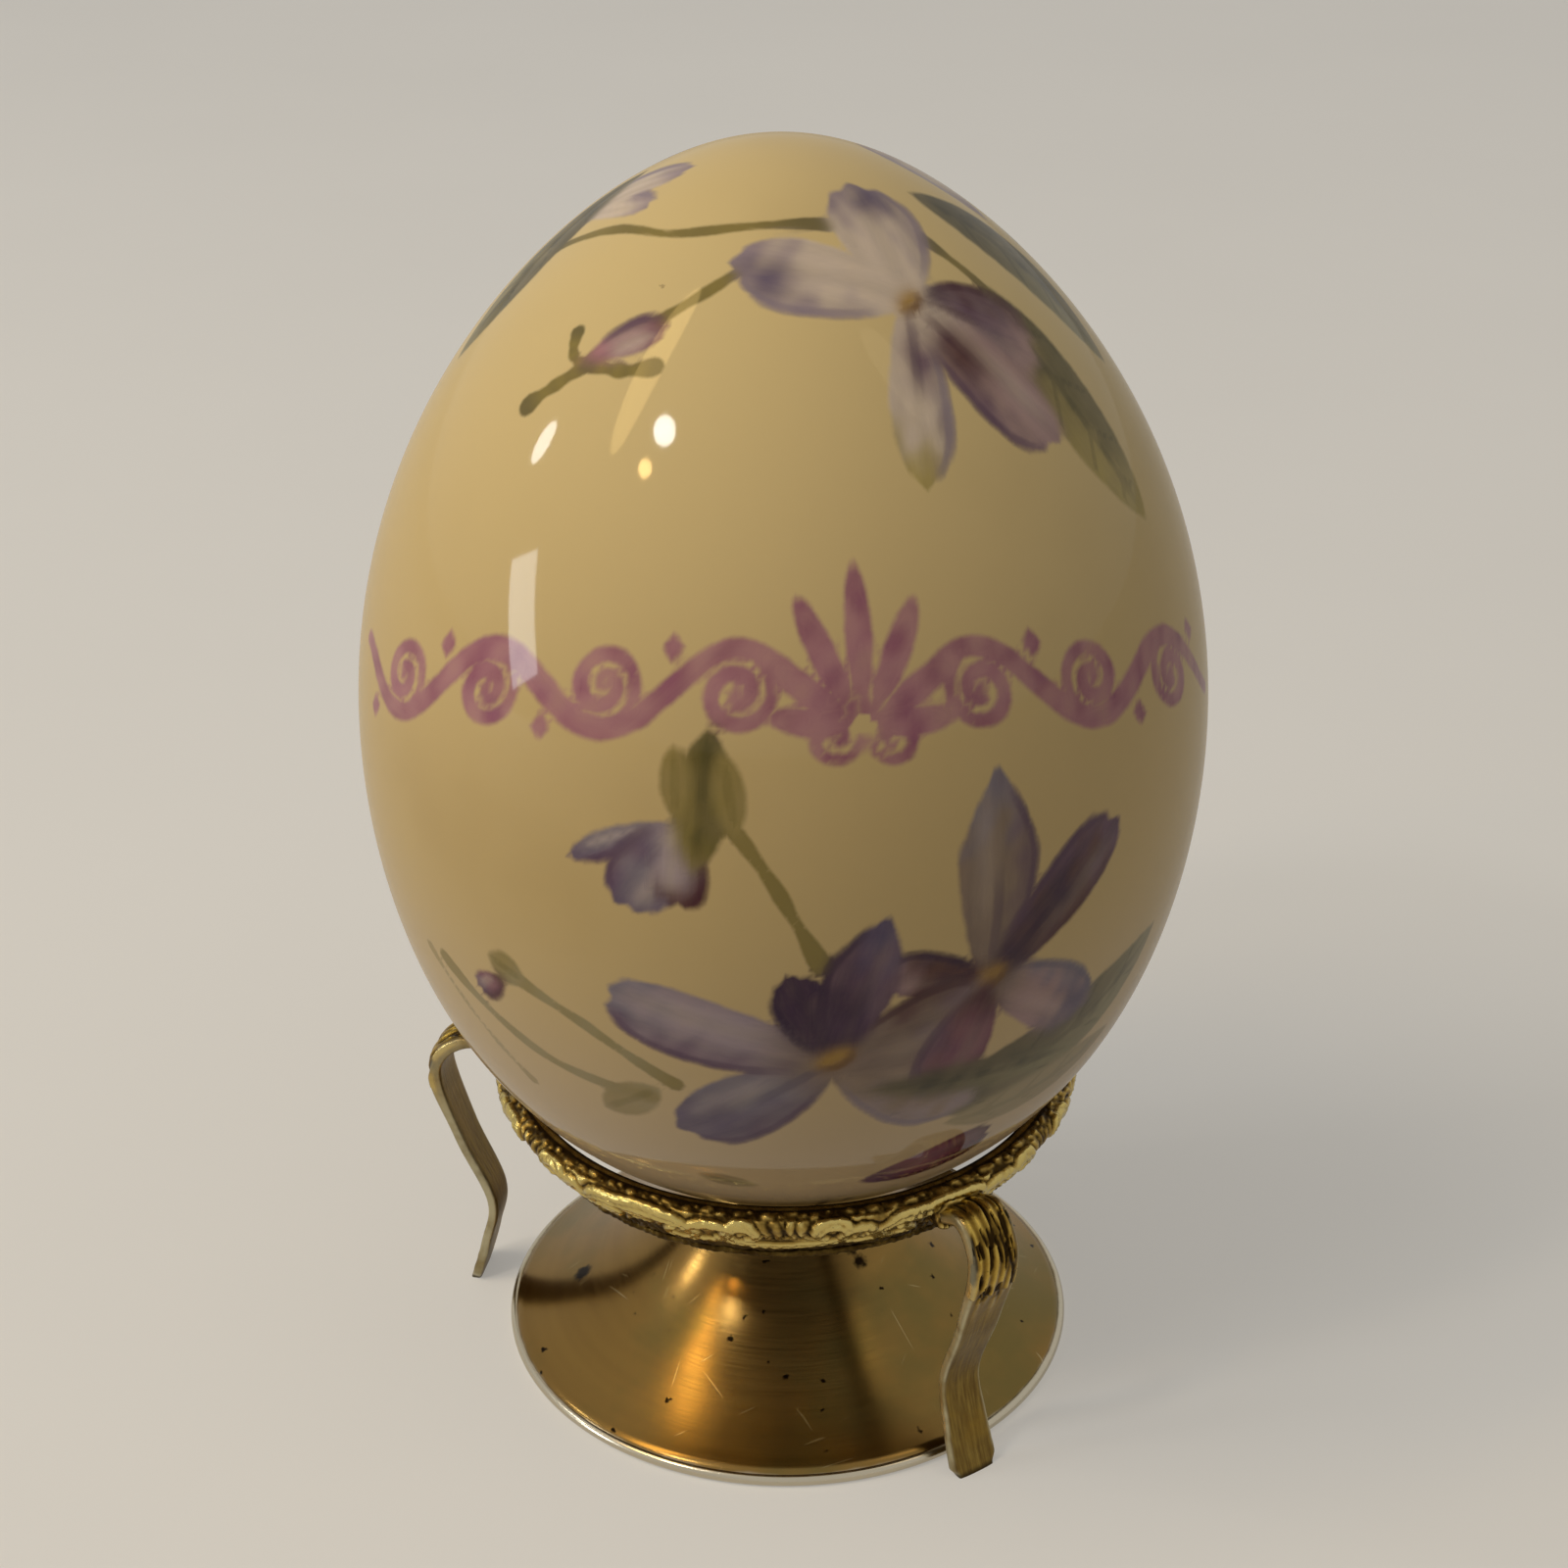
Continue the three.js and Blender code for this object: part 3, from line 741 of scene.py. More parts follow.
@dataclass(frozen=True)
class PaintedGlaze(Finish):
    """Ivory porcelain under a clear glaze, with colours painted on it, and its ground painted lighter at the
    crown, darker on the belly and paler pink at the foot as painted light, shade and reflection.
    """

    name = "painted_glaze"
    # Ground colours by height: the lighter crown is painted light, the darker belly painted shade, the paler
    # pinkish foot a painted reflection
    crown: Colour = srgb("d0b880")
    belly: Colour = srgb("bfa56f")
    foot: Colour = srgb("bda582")
    stain: Colour = srgb("a3874f")
    speck: Colour = srgb("5b4426")
    foot_height: float = 34.0
    belly_height: float = 72.0
    crown_height: float = 122.0

    def draw(self, w: NodeWriter) -> dict[str, Any]:
        """Adds the finish's nodes.

        Args:
            w: The material's node writer.

        Returns:
            The shader's inputs by name.
        """
        place = w.place()
        height = w.height(place)
        cloud = w.noise(place, 26, 3)
        # Painted light, shade and reflection: foot, belly and crown tones blended by height
        lower = w.mix(w.ramp(height, self.foot_height, self.belly_height), self.foot, self.belly)
        body = w.mix(w.ramp(height, self.belly_height, self.crown_height), lower, self.crown)
        aged = w.mix(w.ramp(cloud, 0.5, 0.8, 0, 0.3), body, self.stain)
        specks = w.effect(SpeckEffect, {"Vector": place, "Scale": 210, "Size": 0.055, "Amount": 0.1})
        spotted = w.mix(w.times(specks[0], 0.4), aged, self.speck)
        flow = w.attribute("paint_flow")["Vector"]
        streaks = w.noise(w.stretched(flow, (1.1, 0.22, 1)), 1, 3, 0.65)
        blot = w.noise(place, 480, 3, 0.6)
        wander = w.times(w.math("SUBTRACT", blot, 0.5), 0.5)
        wash = w.attribute("wash_tint")
        thin = w.ramp(streaks, 0.25, 0.8, 0.95, 1)
        grainy = w.times(thin, w.ramp(blot, 0.2, 0.7, 0.98, 1))
        density = w.times(wash["Alpha"], grainy)
        tint = w.mix(w.ramp(streaks, 0.35, 0.75, 0, 0.22), wash["Color"],
                     w.mix(1, wash["Color"], (0.62, 0.6, 0.66), "MULTIPLY"))
        washed = w.effect(PaintLayerEffect, {
            "Ground": spotted, "Tint": tint, "Density": density, "Softness": 0.34, "Wander": wander,
            "Edge": w.attribute("wash_edge")["Fac"]})
        ink = w.attribute("ink_tint")
        inked = w.effect(PaintLayerEffect, {
            "Ground": washed["Colour"], "Tint": ink["Color"], "Density": ink["Alpha"],
            "Softness": 0.22, "Wander": w.times(wander, 0.6),
            "Edge": w.attribute("ink_edge")["Fac"]})
        painted = w.times(washed["Cover"], 0.06)
        rough = w.math("ADD", w.ramp(cloud, 0.3, 0.7, 0.2, 0.27), painted)
        ripple = w.bump(w.noise(place, 70, 2), 0.00003, 0.5)
        return {"Base Color": inked["Colour"], "Roughness": rough, "IOR": 1.5, "Specular IOR Level": 0,
                "Coat Weight": 0.55, "Coat Roughness": 0.05, "Normal": ripple}


@dataclass(frozen=True)
class GiltCasting(Finish):
    """Bright gilding on a cast relief, with painted highlight on its crests and painted shade in its hollows.
    """

    name = "gilt_casting"
    # The crest colour carries a painted highlight; the hollow colour is old lacquer darkened as painted shade
    crest: Colour = srgb("ccb770")
    field_tone: Colour = srgb("9c8040")
    hollow_shade_and_patina: Colour = srgb("3a2a10")

    def draw(self, w: NodeWriter) -> dict[str, Any]:
        """Adds the finish's nodes.

        Args:
            w: The material's node writer.

        Returns:
            The shader's inputs by name.
        """
        place = w.place()
        relief = w.attribute("relief")["Fac"]
        tone = w.effect(GildedReliefEffect, {
            "Vector": place, "Relief": relief, "LitCrest": self.crest, "Field": self.field_tone,
            "HollowShadeAndPatina": self.hollow_shade_and_patina})
        grain = w.noise(place, 1900, 4, 0.65)
        bump = w.bump(grain, 0.00012, 0.55)
        return {"Base Color": tone["Colour"], "Roughness": tone["Rough"], "Metallic": 1, "Normal": bump}


@dataclass(frozen=True)
class WornStripGold(Finish):
    """Gilding on the bent legs: bright on the knee leaf, with painted highlight on its crests and painted
    shade in its hollows, matt and thin below it.
    """

    name = "worn_strip_gold"
    # The crest colour carries a painted highlight; the hollow colour is old lacquer darkened as painted shade
    crest: Colour = srgb("c6a852")
    field_tone: Colour = srgb("8c6f2e")
    hollow_shade_and_patina: Colour = srgb("30220e")
    bare: Colour = srgb("8c753c")
    bare_dark: Colour = srgb("665029")
    pale_edge_tone: Colour = srgb("c9c2a2")
    # Painted shadow along the toe's foot where it meets the table
    toe_contact_shade: Colour = srgb("2b2218")

    def draw(self, w: NodeWriter) -> dict[str, Any]:
        """Adds the finish's nodes.

        Args:
            w: The material's node writer.

        Returns:
            The shader's inputs by name.
        """
        place = w.place()
        relief = w.attribute("relief")["Fac"]
        leaf = w.attribute("leaf_cover")["Fac"]
        run = w.attribute("strip_place")["Vector"]
        tone = w.effect(GildedReliefEffect, {
            "Vector": place, "Relief": relief, "LitCrest": self.crest, "Field": self.field_tone,
            "HollowShadeAndPatina": self.hollow_shade_and_patina})
        draw_lines = w.noise(w.stretched(run, (3.2, 0.22, 1)), 1, 3, 0.6)
        rubbed = w.mix(w.ramp(draw_lines, 0.3, 0.75), self.bare_dark, self.bare)
        patch = w.noise(place, 260, 3)
        plain = w.mix(w.ramp(patch, 0.45, 0.75, 0, 0.5), rubbed, self.field_tone)
        colour = w.mix(leaf, plain, tone["Colour"])
        height = w.height(place)
        # Paler in patches along both edges of the strip
        edge_paleness = w.times(w.attribute("pale_edge_share")["Fac"], w.ramp(patch, 0.3, 0.6, 0.2, 0.75))
        edged = w.mix(edge_paleness, colour, self.pale_edge_tone)
        # Painted shadow: darker in the lowest 0.7 mm of the toe, next to the table
        toe_shaded = w.mix(w.ramp(height, 0.1, 0.7, 0.8, 0), edged, self.toe_contact_shade)
        matt = w.math("ADD", 0.36, w.times(draw_lines, 0.16))
        rough_mix = w.add("Mix", {0: leaf, 2: matt, 3: tone["Rough"]}, data_type="FLOAT")
        grain = w.math("ADD", w.noise(place, 1700, 4, 0.6), w.times(draw_lines, 0.8))
        bump = w.bump(grain, 0.00008, 0.45)
        return {"Base Color": toe_shaded, "Roughness": rough_mix.outputs[0], "Metallic": 1, "Normal": bump}


@dataclass(frozen=True)
class SpunBrass(Finish):
    """Lacquered brass with lathe rings, scratches and dark pits, worn to silver at its rim."""

    name = "spun_brass"
    tone: Colour = srgb("967740")
    brown: Colour = srgb("7c5f34")
    olive: Colour = srgb("6e6238")
    pit: Colour = srgb("1f150b")
    bare: Colour = srgb("c8b88f")
    worn_rim: Colour = srgb("cec6b2")
    rim_radius: float = 28.9

    def draw(self, w: NodeWriter) -> dict[str, Any]:
        """Adds the finish's nodes.

        Args:
            w: The material's node writer.

        Returns:
            The shader's inputs by name.
        """
        place = w.place()
        marks = w.effect(TurnedMarksEffect, {"Vector": place, "Rings": 3000, "Breaks": 2.5})[0]
        bands = w.effect(TurnedMarksEffect, {"Vector": place, "Rings": 260, "Breaks": 0.6})[0]
        patch = w.noise(place, 60, 4, 0.6)
        base = w.mix(w.ramp(bands, 0.25, 0.75, 0.35, 0.7), self.brown, self.tone)
        tinted = w.mix(w.ramp(patch, 0.4, 0.7, 0, 0.8), base, self.olive)
        lined = w.mix(w.ramp(marks, 0.55, 0.75, 0, 0.1), tinted, self.brown)
        pits = w.effect(SpeckEffect, {"Vector": place, "Scale": 520, "Size": 0.19, "Amount": 0.2})[0]
        blots = w.effect(SpeckEffect, {"Vector": place, "Scale": 140, "Size": 0.15, "Amount": 0.12})[0]
        scratches = w.effect(ScratchEffect, {"Vector": place, "Fineness": 1, "Amount": 0.52})[0]
        cut = w.mix(w.times(scratches, 0.4), lined, self.bare)
        pitted = w.mix(w.math("MAXIMUM", pits, blots), cut, self.pit)
        axes = w.axes(place)
        radius = w.times(w.flat_length(w.joined(axes[0], axes[1])), 1 / MM)
        wobble = w.times(w.math("SUBTRACT", w.noise(place, 300, 3), 0.5), 0.5)
        rim = w.ramp(w.math("ADD", radius, wobble), self.rim_radius - 0.2, self.rim_radius + 0.2)
        worn = w.mix(w.times(rim, 0.85), pitted, self.worn_rim)
        rough = w.math("ADD", w.ramp(marks, 0.3, 0.7, 0.15, 0.19), w.times(patch, 0.1))
        grain = w.math("ADD", marks, w.times(w.math("MAXIMUM", pits, scratches), -1.2))
        bump = w.bump(grain, 0.00002, 0.14)
        return {"Base Color": worn, "Roughness": rough, "Metallic": 1, "Normal": bump}


@dataclass(frozen=True)
class TurnedSteel(Finish):
    """Plain machined steel of the small fasteners."""

    name = "turned_steel"
    light: Colour = srgb("a19c92")
    dark: Colour = srgb("6c675e")
    rust: Colour = srgb("6a4526")

    def draw(self, w: NodeWriter) -> dict[str, Any]:
        """Adds the finish's nodes.

        Args:
            w: The material's node writer.

        Returns:
            The shader's inputs by name.
        """
        place = w.place()
        marks = w.effect(TurnedMarksEffect, {"Vector": place, "Rings": 5000, "Breaks": 4})[0]
        spots = w.noise(place, 900, 4, 0.6)
        base = w.mix(w.ramp(marks, 0.3, 0.7), self.dark, self.light)
        colour = w.mix(w.ramp(spots, 0.58, 0.75, 0, 0.6), base, self.rust)
        rough = w.ramp(marks, 0.3, 0.7, 0.32, 0.45)
        bump = w.bump(marks, 0.00002, 0.5)
        return {"Base Color": colour, "Roughness": rough, "Metallic": 1, "Normal": bump}


@dataclass(frozen=True)
class PaleFloor(Finish):
    """A plain pale floor that keeps the shadow and glows only where it is seen."""

    name = "pale_floor"
    tone: Colour = srgb("b9b6b0")
    glow: float = 0.58

    def draw(self, w: NodeWriter) -> dict[str, Any]:
        """Adds the finish's nodes.

        Args:
            w: The material's node writer.

        Returns:
            The shader's inputs by name.
        """
        dark = tuple(value * 0.95 for value in self.tone)
        tone = w.mix(w.noise(w.place(), 9, 4), dark, self.tone)
        return {"Base Color": tone, "Roughness": 0.75, "Specular IOR Level": 0.2, "Emission Color": tone,
                "Emission Strength": w.times(w.seen(), self.glow)}


# Painted decoration


class Pigment(Enum):
    """Colours on the painter's palette."""

    LAVENDER = srgb("8c7c8a")
    MILK = srgb("c8b7a8")
    PALE_BLUE = srgb("6f687a")
    BLUE_VIOLET = srgb("574a66")
    VIOLET = srgb("5a3d58")
    DEEP_VIOLET = srgb("2c0034")
    PLUM = srgb("44081e")
    MAGENTA = srgb("6c3450")
    PINK_LILAC = srgb("9a7b80")
    # Pale petal paint of the lower sprays: a little greyer than MILK, and darker again as painted shade
    SMOKE = srgb("76625a")
    STRAW = srgb("a4914c")
    OCHRE = srgb("a27a26")
    UMBER = srgb("6d4a1c")
    OLIVE = srgb("6c5e10")
    DEEP_OLIVE = srgb("403a06")
    SAGE = srgb("7c7550")
    DEEP_SAGE = srgb("34301a")
    MAUVE = srgb("a0647a")
    DEEP_MAUVE = srgb("854660")

    @property
    def row(self) -> Array:
        """The colour as a row of numbers."""
        return np.array(self.value)

    def rows(self, near: Array) -> Array:
        """Gives the colour once for each point."""
        return np.tile(self.row, (len(near), 1))


class PaintLayer:
    """One coat of paint: its colour, density and distance to its edge at each point of the skin."""

    far_outside = -4.0

    def __init__(self, count: int, blend: float) -> None:
        """Starts an empty coat.

        Args:
            count: Number of points.
            blend: How softly one stroke runs into the next, in millimetres.
        """
        self.blend = blend
        self.colour = np.zeros((count, 3))
        self.density = np.zeros(count)
        self.weight = np.full(count, 1e-12)
        self.edge = np.full(count, self.far_outside)

    def lay(self, where: Array, edge: Array, colour: Array, density: Array) -> None:
        """Lays a stroke over what is there.

        Args:
            where: Numbers of the points that it may reach.
            edge: Distance to its edge, positive inside it.
            colour: Its colour at each point.
            density: Its density at each point.
        """
        cover = 1 / (1 + np.exp(np.clip(-edge / self.blend, -25, 25)))
        kept = (1.0 - cover) * self.weight[where]
        total = cover + kept
        share = cover / total
        self.colour[where] = lerp(self.colour[where], colour, share)
        self.density[where] += (density - self.density[where]) * share
        self.weight[where] = total
        self.edge[where] = np.maximum(self.edge[where], np.clip(edge, self.far_outside, None))


@dataclass
class EggForm:
    """The egg's outline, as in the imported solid."""

    height: float = 104.4
    wall: float = 3.0
    vent: float = 3.4
    fullness: tuple[float, float, float] = (-0.06, -0.01, -0.103)
    trim: float = 0.002
    top: float = field(init=False)
    half_width: float = field(init=False)

    def __post_init__(self) -> None:
        """Reads the egg's place and width from the frame."""
        low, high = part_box("egg_shell")
        self.top = high.z / MM
        self.half_width = (high.x - low.x) / 2 / MM - self.trim

    @property
    def middle(self) -> float:
        """Height of the egg's middle."""
        return self.top - self.height / 2

    def outline(self, angle: Array, outwards: float = 0.0) -> tuple[Array, Array]:
        """Gives points of the skin.

        Args:
            angle: From the top at 0 to the foot at pi.
            outwards: How far the points are moved out of the skin.

        Returns:
            Their radii and heights.
        """
        fine = np.linspace(0, pi, 4001)
        radius = self.half_width * self._bulge(fine) / self._bulge(fine).max()
        height = self.middle + self.height / 2 * np.cos(fine)
        run = directions(columns(radius, height))
        out, up = radius - run[:, 1] * outwards, height + run[:, 0] * outwards
        return np.interp(angle, fine, out), np.interp(angle, fine, up)

    def _bulge(self, angle: Array) -> Array:
        """Gives the outline's radius before it is scaled.

        Args:
            angle: From the top at 0 to the foot at pi.

        Returns:
            The radius at each angle.
        """
        rise = np.cos(angle)
        first, second, third = self.fullness
        return np.sin(angle) * (1 + first * rise + second * rise ** 2 + third * rise ** 3)

    def even_angles(self, start: float, end: float, count: int, outwards: float = 0.0) -> Array:
        """Gives angles that lie evenly along the skin between two angles.

        Args:
            start: The first angle.
            end: The last angle.
            count: How many angles are given back.
            outwards: How far the points are moved out of the skin.

        Returns:
            The angles.
        """
        fine = np.linspace(start, end, 2000)
        radius, height = self.outline(fine, outwards)
        ways = travelled(np.hypot(np.diff(radius), np.diff(height)))
        return np.interp(np.linspace(0, ways[-1], count), ways, fine)

    def angle_at_radius(self, radius: float, outwards: float = 0.0) -> float:
        """Finds the angle on the lower half where the moved skin has a radius."""
        fine = np.linspace(pi, pi / 2, 4000)
        return float(np.interp(radius, self.outline(fine, outwards)[0], fine))

    def angle_at_height(self, height: float) -> float:
        """Finds the angle at a height above the table."""
        return acos(max(-1, min(1, (height - self.middle) / (self.height / 2))))

    def point(self, azimuth: float, height: float) -> Array:
        """Gives a point of the skin.

        Args:
            azimuth: Degrees round the egg, 0 in front and positive to the right.
            height: Height above the table.

        Returns:
            The point.
        """
        radius = float(self.outline(np.array([self.angle_at_height(height)]))[0][0])
        turn = radians(azimuth)
        return np.array([radius * sin(turn), -radius * cos(turn), height])


class Canvas:
    """The egg's skin as the painter sees it, with a coat of washes and a coat of ink over it."""

    def __init__(self, form: EggForm, points: Array) -> None:
        """Prepares the coats.

        Args:
            form: The egg's outline.
            points: Points of the skin, in millimetres.
        """
        self.form = form
        self.points = points
        self.wash = PaintLayer(len(points), 0.3)
        self.ink = PaintLayer(len(points), 0.16)
        self.flow = np.zeros((len(points), 3))
        self.mottle = SoftNoise(11, 3.2)(points)
        self.strokes = 0

    def around(self, azimuth: float, height: float, reach: float) -> tuple[Array, Array, Array]:
        """Unrolls the skin round a place.

        Args:
            azimuth: Azimuth of the place in degrees.
            height: Height of the place.
            reach: How far round it the skin is wanted.

        Returns:
            The numbers of the points in reach, and their distances right and up.
        """
        place = self.form.point(azimuth, height)
        near = np.flatnonzero(abs(self.points - place).max(axis=1) < reach)
        right, up = self.unroll(place, azimuth, height, self.points[near])
        return near, right, up

    def cover(self, near: Array, edge: Array, colour: Array, density: Array,
              flow: tuple[Array, Array]) -> None:
        """Lays a wash that hides the ink below it, and notes how its brush ran.

        Args:
            near: Numbers of the points that it may reach.
            edge: Distance to its edge, positive inside it.
            colour: Its colour at each point.
            density: Its density at each point.
            flow: Distance across and along the brush's way.
        """
        self.strokes += 1
        self.wash.lay(near, edge, colour, held(density))
        self.ink.density[near] *= ease(0.4, -0.2, edge)
        inside = edge > -0.6
        way = columns(*flow, np.full(len(near), self.strokes * 1.7))
        self.flow[near[inside]] = way[inside]

    def unroll(self, place: Array, azimuth: float, height: float, points: Array) -> tuple[Array, Array]:
        """Measures points from a place, right and up along the skin.

        Args:
            place: The place.
            azimuth: Its azimuth in degrees.
            height: Its height.
            points: The points, one row each.

        Returns:
            Their distances right and up.
        """
        turn = radians(azimuth)
        east = np.array([cos(turn), sin(turn), 0])
        rise = self.form.point(azimuth, height + 0.05) - self.form.point(azimuth, height - 0.05)
        rise /= np.linalg.norm(rise)
        away = points - place
        right, up = away @ east, away @ rise
        flat = np.maximum(np.hypot(right, up), 1e-6)
        stretch = np.linalg.norm(away, axis=1) / flat
        return right * stretch, up * stretch


def spot_edge(along: Array, side: Array, size: Place, powers: Place) -> Array:
    """Gives the distance to the edge of a rounded spot about the origin, positive inside.

    Args:
        along: First coordinate of each point.
        side: Second coordinate of each point.
        size: Half length and half width.
        powers: Roundness along and across: 2 is an ellipse, 1 a pointed end.

    Returns:
        The distance for each point.
    """
    first = (abs(along) + 1e-6) / size[0]
    second = (abs(side) + 1e-6) / size[1]
    level = np.maximum(first ** powers[0] + second ** powers[1], 1e-9)
    root = np.sqrt(level)
    slope = np.hypot(powers[0] * first ** (powers[0] - 1) / size[0],
                     powers[1] * second ** (powers[1] - 1) / size[1]) / (2 * root)
    return (1 - root) / np.maximum(slope, 0.5 / min(size))


@dataclass(frozen=True)
class Petal:
    """One brush petal, from the heart of its flower outwards."""

    turn: float
    reach: float
    width: float
    heart: Pigment
    body: Pigment
    tip: Pigment
    shade: Pigment
    dark_side: float = 1.0
    bow: float = 0.0
    veins: int = 1
    density: float = 0.92
    gleam: float = 0.4
    pointed: bool = False
    accent: Pigment | None = None
    accent_at: float = 0.3

    def paint(self, canvas: Canvas, near: Array, right: Array, up: Array) -> None:
        """Paints the petal about the flower's heart.

        Args:
            canvas: What it is painted on.
            near: Numbers of the points round the heart.
            right: How far right of it each lies.
            up: How far up from it each lies.
        """
        seed = canvas.strokes * 1.7
        turn = radians(self.turn)
        along = right * cos(turn) + up * sin(turn)
        side = up * cos(turn) - right * sin(turn)
        side = side - self.bow * (along / self.reach) ** 2
        across = side / (self.width / 2)
        ruffle = 0.022 * self.reach * np.sin(across * 4.2 + seed) + 0.25 * np.sin(across * 11 + seed)
        ruffle = ruffle * ease(0.3, 1, along / self.reach)
        shoulder = 0.62 * self.reach
        ahead = along - shoulder + ruffle
        powers = (1.3, 1.35) if self.pointed else (2.5, 2)
        outer = spot_edge(ahead, side, (self.reach - shoulder, self.width / 2), powers)
        inner = spot_edge(ahead, side, (shoulder * 1.04, self.width / 2), (1.5, 1.7))
        edge = np.where(ahead > 0, outer, inner)
        share = held(along / self.reach)
        colour = self.body.rows(near)
        colour = lerp(colour, self.heart.row, ease(0.42, 0.08, share))
        colour = lerp(colour, self.tip.row, ease(0.55, 1, share + 0.12 * canvas.mottle[near]))
        shaded = ease(0, 1, across * self.dark_side + 0.25 * canvas.mottle[near])
        colour = lerp(colour, self.shade.row, 0.78 * shaded * ease(0.05, 0.4, share))
        light = np.exp(-((across + 0.35 * self.dark_side) / 0.3) ** 2) * ease(0.2, 0.5, share)
        colour = lerp(colour, Pigment.MILK.row, self.gleam * light * ease(1, 0.7, share))
        if self.accent is not None:
            away = ((share - self.accent_at) / 0.19) ** 2 + ((across - 0.15 * self.dark_side) / 0.65) ** 2
            colour = lerp(colour, self.accent.row, 0.9 * np.exp(-away) * (1 + 0.15 * canvas.mottle[near]))
        colour = colour * (1 + 0.07 * np.sin(across * 9 + seed))[:, None]
        paleness = held(colour.mean(axis=1) / 0.22)
        density = (1 - (1 - self.density) * (0.2 + paleness)) * (1 + 0.03 * canvas.mottle[near])
        canvas.cover(near, edge, colour, density, (side, along))
        self._outline(canvas, near, edge, across, share)
        self._veins(canvas, near, side, along, share)

    def _outline(self, canvas: Canvas, near: Array, edge: Array, across: Array, share: Array) -> None:
        """Draws the darker line along the petal's shaded edge.

        Args:
            canvas: What it is painted on.
            near: Numbers of the points.
            edge: Distance to the petal's edge.
            across: Place across it, from -1 to 1.
            share: Share of the way to its tip.
        """
        line = 0.5 - abs(edge - 0.25)
        fade = ease(0.1, 0.55, across * self.dark_side) * ease(0.12, 0.35, share)
        colour = self.shade.rows(near) * 0.75
        canvas.ink.lay(near, np.where(fade > 0.02, line, -2), colour, 0.5 * fade * ease(1.1, 0.8, share))

    def _veins(self, canvas: Canvas, near: Array, side: Array, along: Array, share: Array) -> None:
        """Draws fine veins that fan out of the heart.

        Args:
            canvas: What it is painted on.
            near: Numbers of the points.
            side: Distance from the petal's middle line.
            along: Distance from the heart.
            share: Share of the way to its tip.
        """
        for vein in range(self.veins):
            lean = (vein - (self.veins - 1) / 2) * 0.26 * self.width / self.reach
            reach = 0.62 - 0.1 * abs(vein - (self.veins - 1) / 2)
            line = 0.5 - abs(side - lean * along * 1.5)
            fade = ease(0.06, 0.16, share) * ease(reach, reach * 0.6, share)
            colour = (self.accent or self.shade).rows(near) * 0.7
            canvas.ink.lay(near, np.where(fade > 0.02, line, -2), colour, 0.4 * fade)


@dataclass(frozen=True)
class Leaf:
    """A pointed leaf between two places of the egg, given by azimuth and height."""

    start: Place
    tip: Place
    width: float
    light: Pigment = Pigment.SAGE
    dark: Pigment = Pigment.DEEP_SAGE
    bow: float = 0.0
    density: float = 0.9
    side_veins: bool = True

    def paint(self, canvas: Canvas, stage: Spray) -> None:
        """Paints the leaf where its spray stands.

        Args:
            canvas: What it is painted on.
            stage: The spray that it belongs to.
        """
        (start_turn, start_rise), (tip_turn, tip_rise) = stage.place(self.start), stage.place(self.tip)
        middle = ((start_turn + tip_turn) / 2, (start_rise + tip_rise) / 2)
        place = canvas.form.point(*middle)
        ends = np.array([canvas.form.point(start_turn, start_rise), canvas.form.point(tip_turn, tip_rise)])
        right, up = canvas.unroll(place, *middle, ends)
        run = np.array([right[1] - right[0], up[1] - up[0]])
        length = float(np.hypot(*run))
        run /= length
        near, east, north = canvas.around(*middle, length / 2 + self.width + 3)
        along = (east - right[0]) * run[0] + (north - up[0]) * run[1] - length / 2
        side = (north - up[0]) * run[0] - (east - right[0]) * run[1]
        share = along / (length / 2)
        side = side - self.bow * stage.mirror * (1 - share ** 2)
        edge = spot_edge(along, side, (length / 2, self.width / 2), (2.2, 1.25))
        across = side / (self.width / 2)
        colour = self.light.rows(near)
        half = ease(-0.25, 0.25, across * stage.mirror + 0.3 * canvas.mottle[near])
        colour = lerp(colour, self.dark.row, 0.7 * half * ease(1, 0.3, share))
        colour = lerp(colour, self.dark.row, 0.75 * ease(0.6, -0.5, share))
        colour = colour * (1 + 0.1 * canvas.mottle[near])[:, None]
        canvas.cover(near, edge, colour, self.density * (0.96 + 0.06 * canvas.mottle[near]), (side, along))
        self._draw_veins(canvas, near, side, along, share, edge)

    def _draw_veins(self, canvas: Canvas, near: Array, side: Array, along: Array,
                    share: Array, edge: Array) -> None:
        """Draws the midrib and the side veins inside the leaf.

        Args:
            canvas: What it is painted on.
            near: Numbers of the points.
            side: Distance from the midrib.
            along: Distance along it from the middle.
            share: The same, from -1 at the stalk to 1 at the tip.
            edge: Distance to the leaf's edge.
        """
        line = 0.4 - abs(side)
        if self.side_veins:
            pitch = self.width * 0.75
            slant = (along - abs(side) * 1.1) / pitch
            line = np.maximum(line, 0.4 - abs(slant % 1 - 0.5) * pitch)
        fade = ease(0.1, 0.7, edge) * ease(1, 0.6, abs(share))
        colour = self.dark.rows(near) * 0.7
        canvas.ink.lay(near, np.where(fade > 0.02, line, -2), colour, 0.28 * fade)


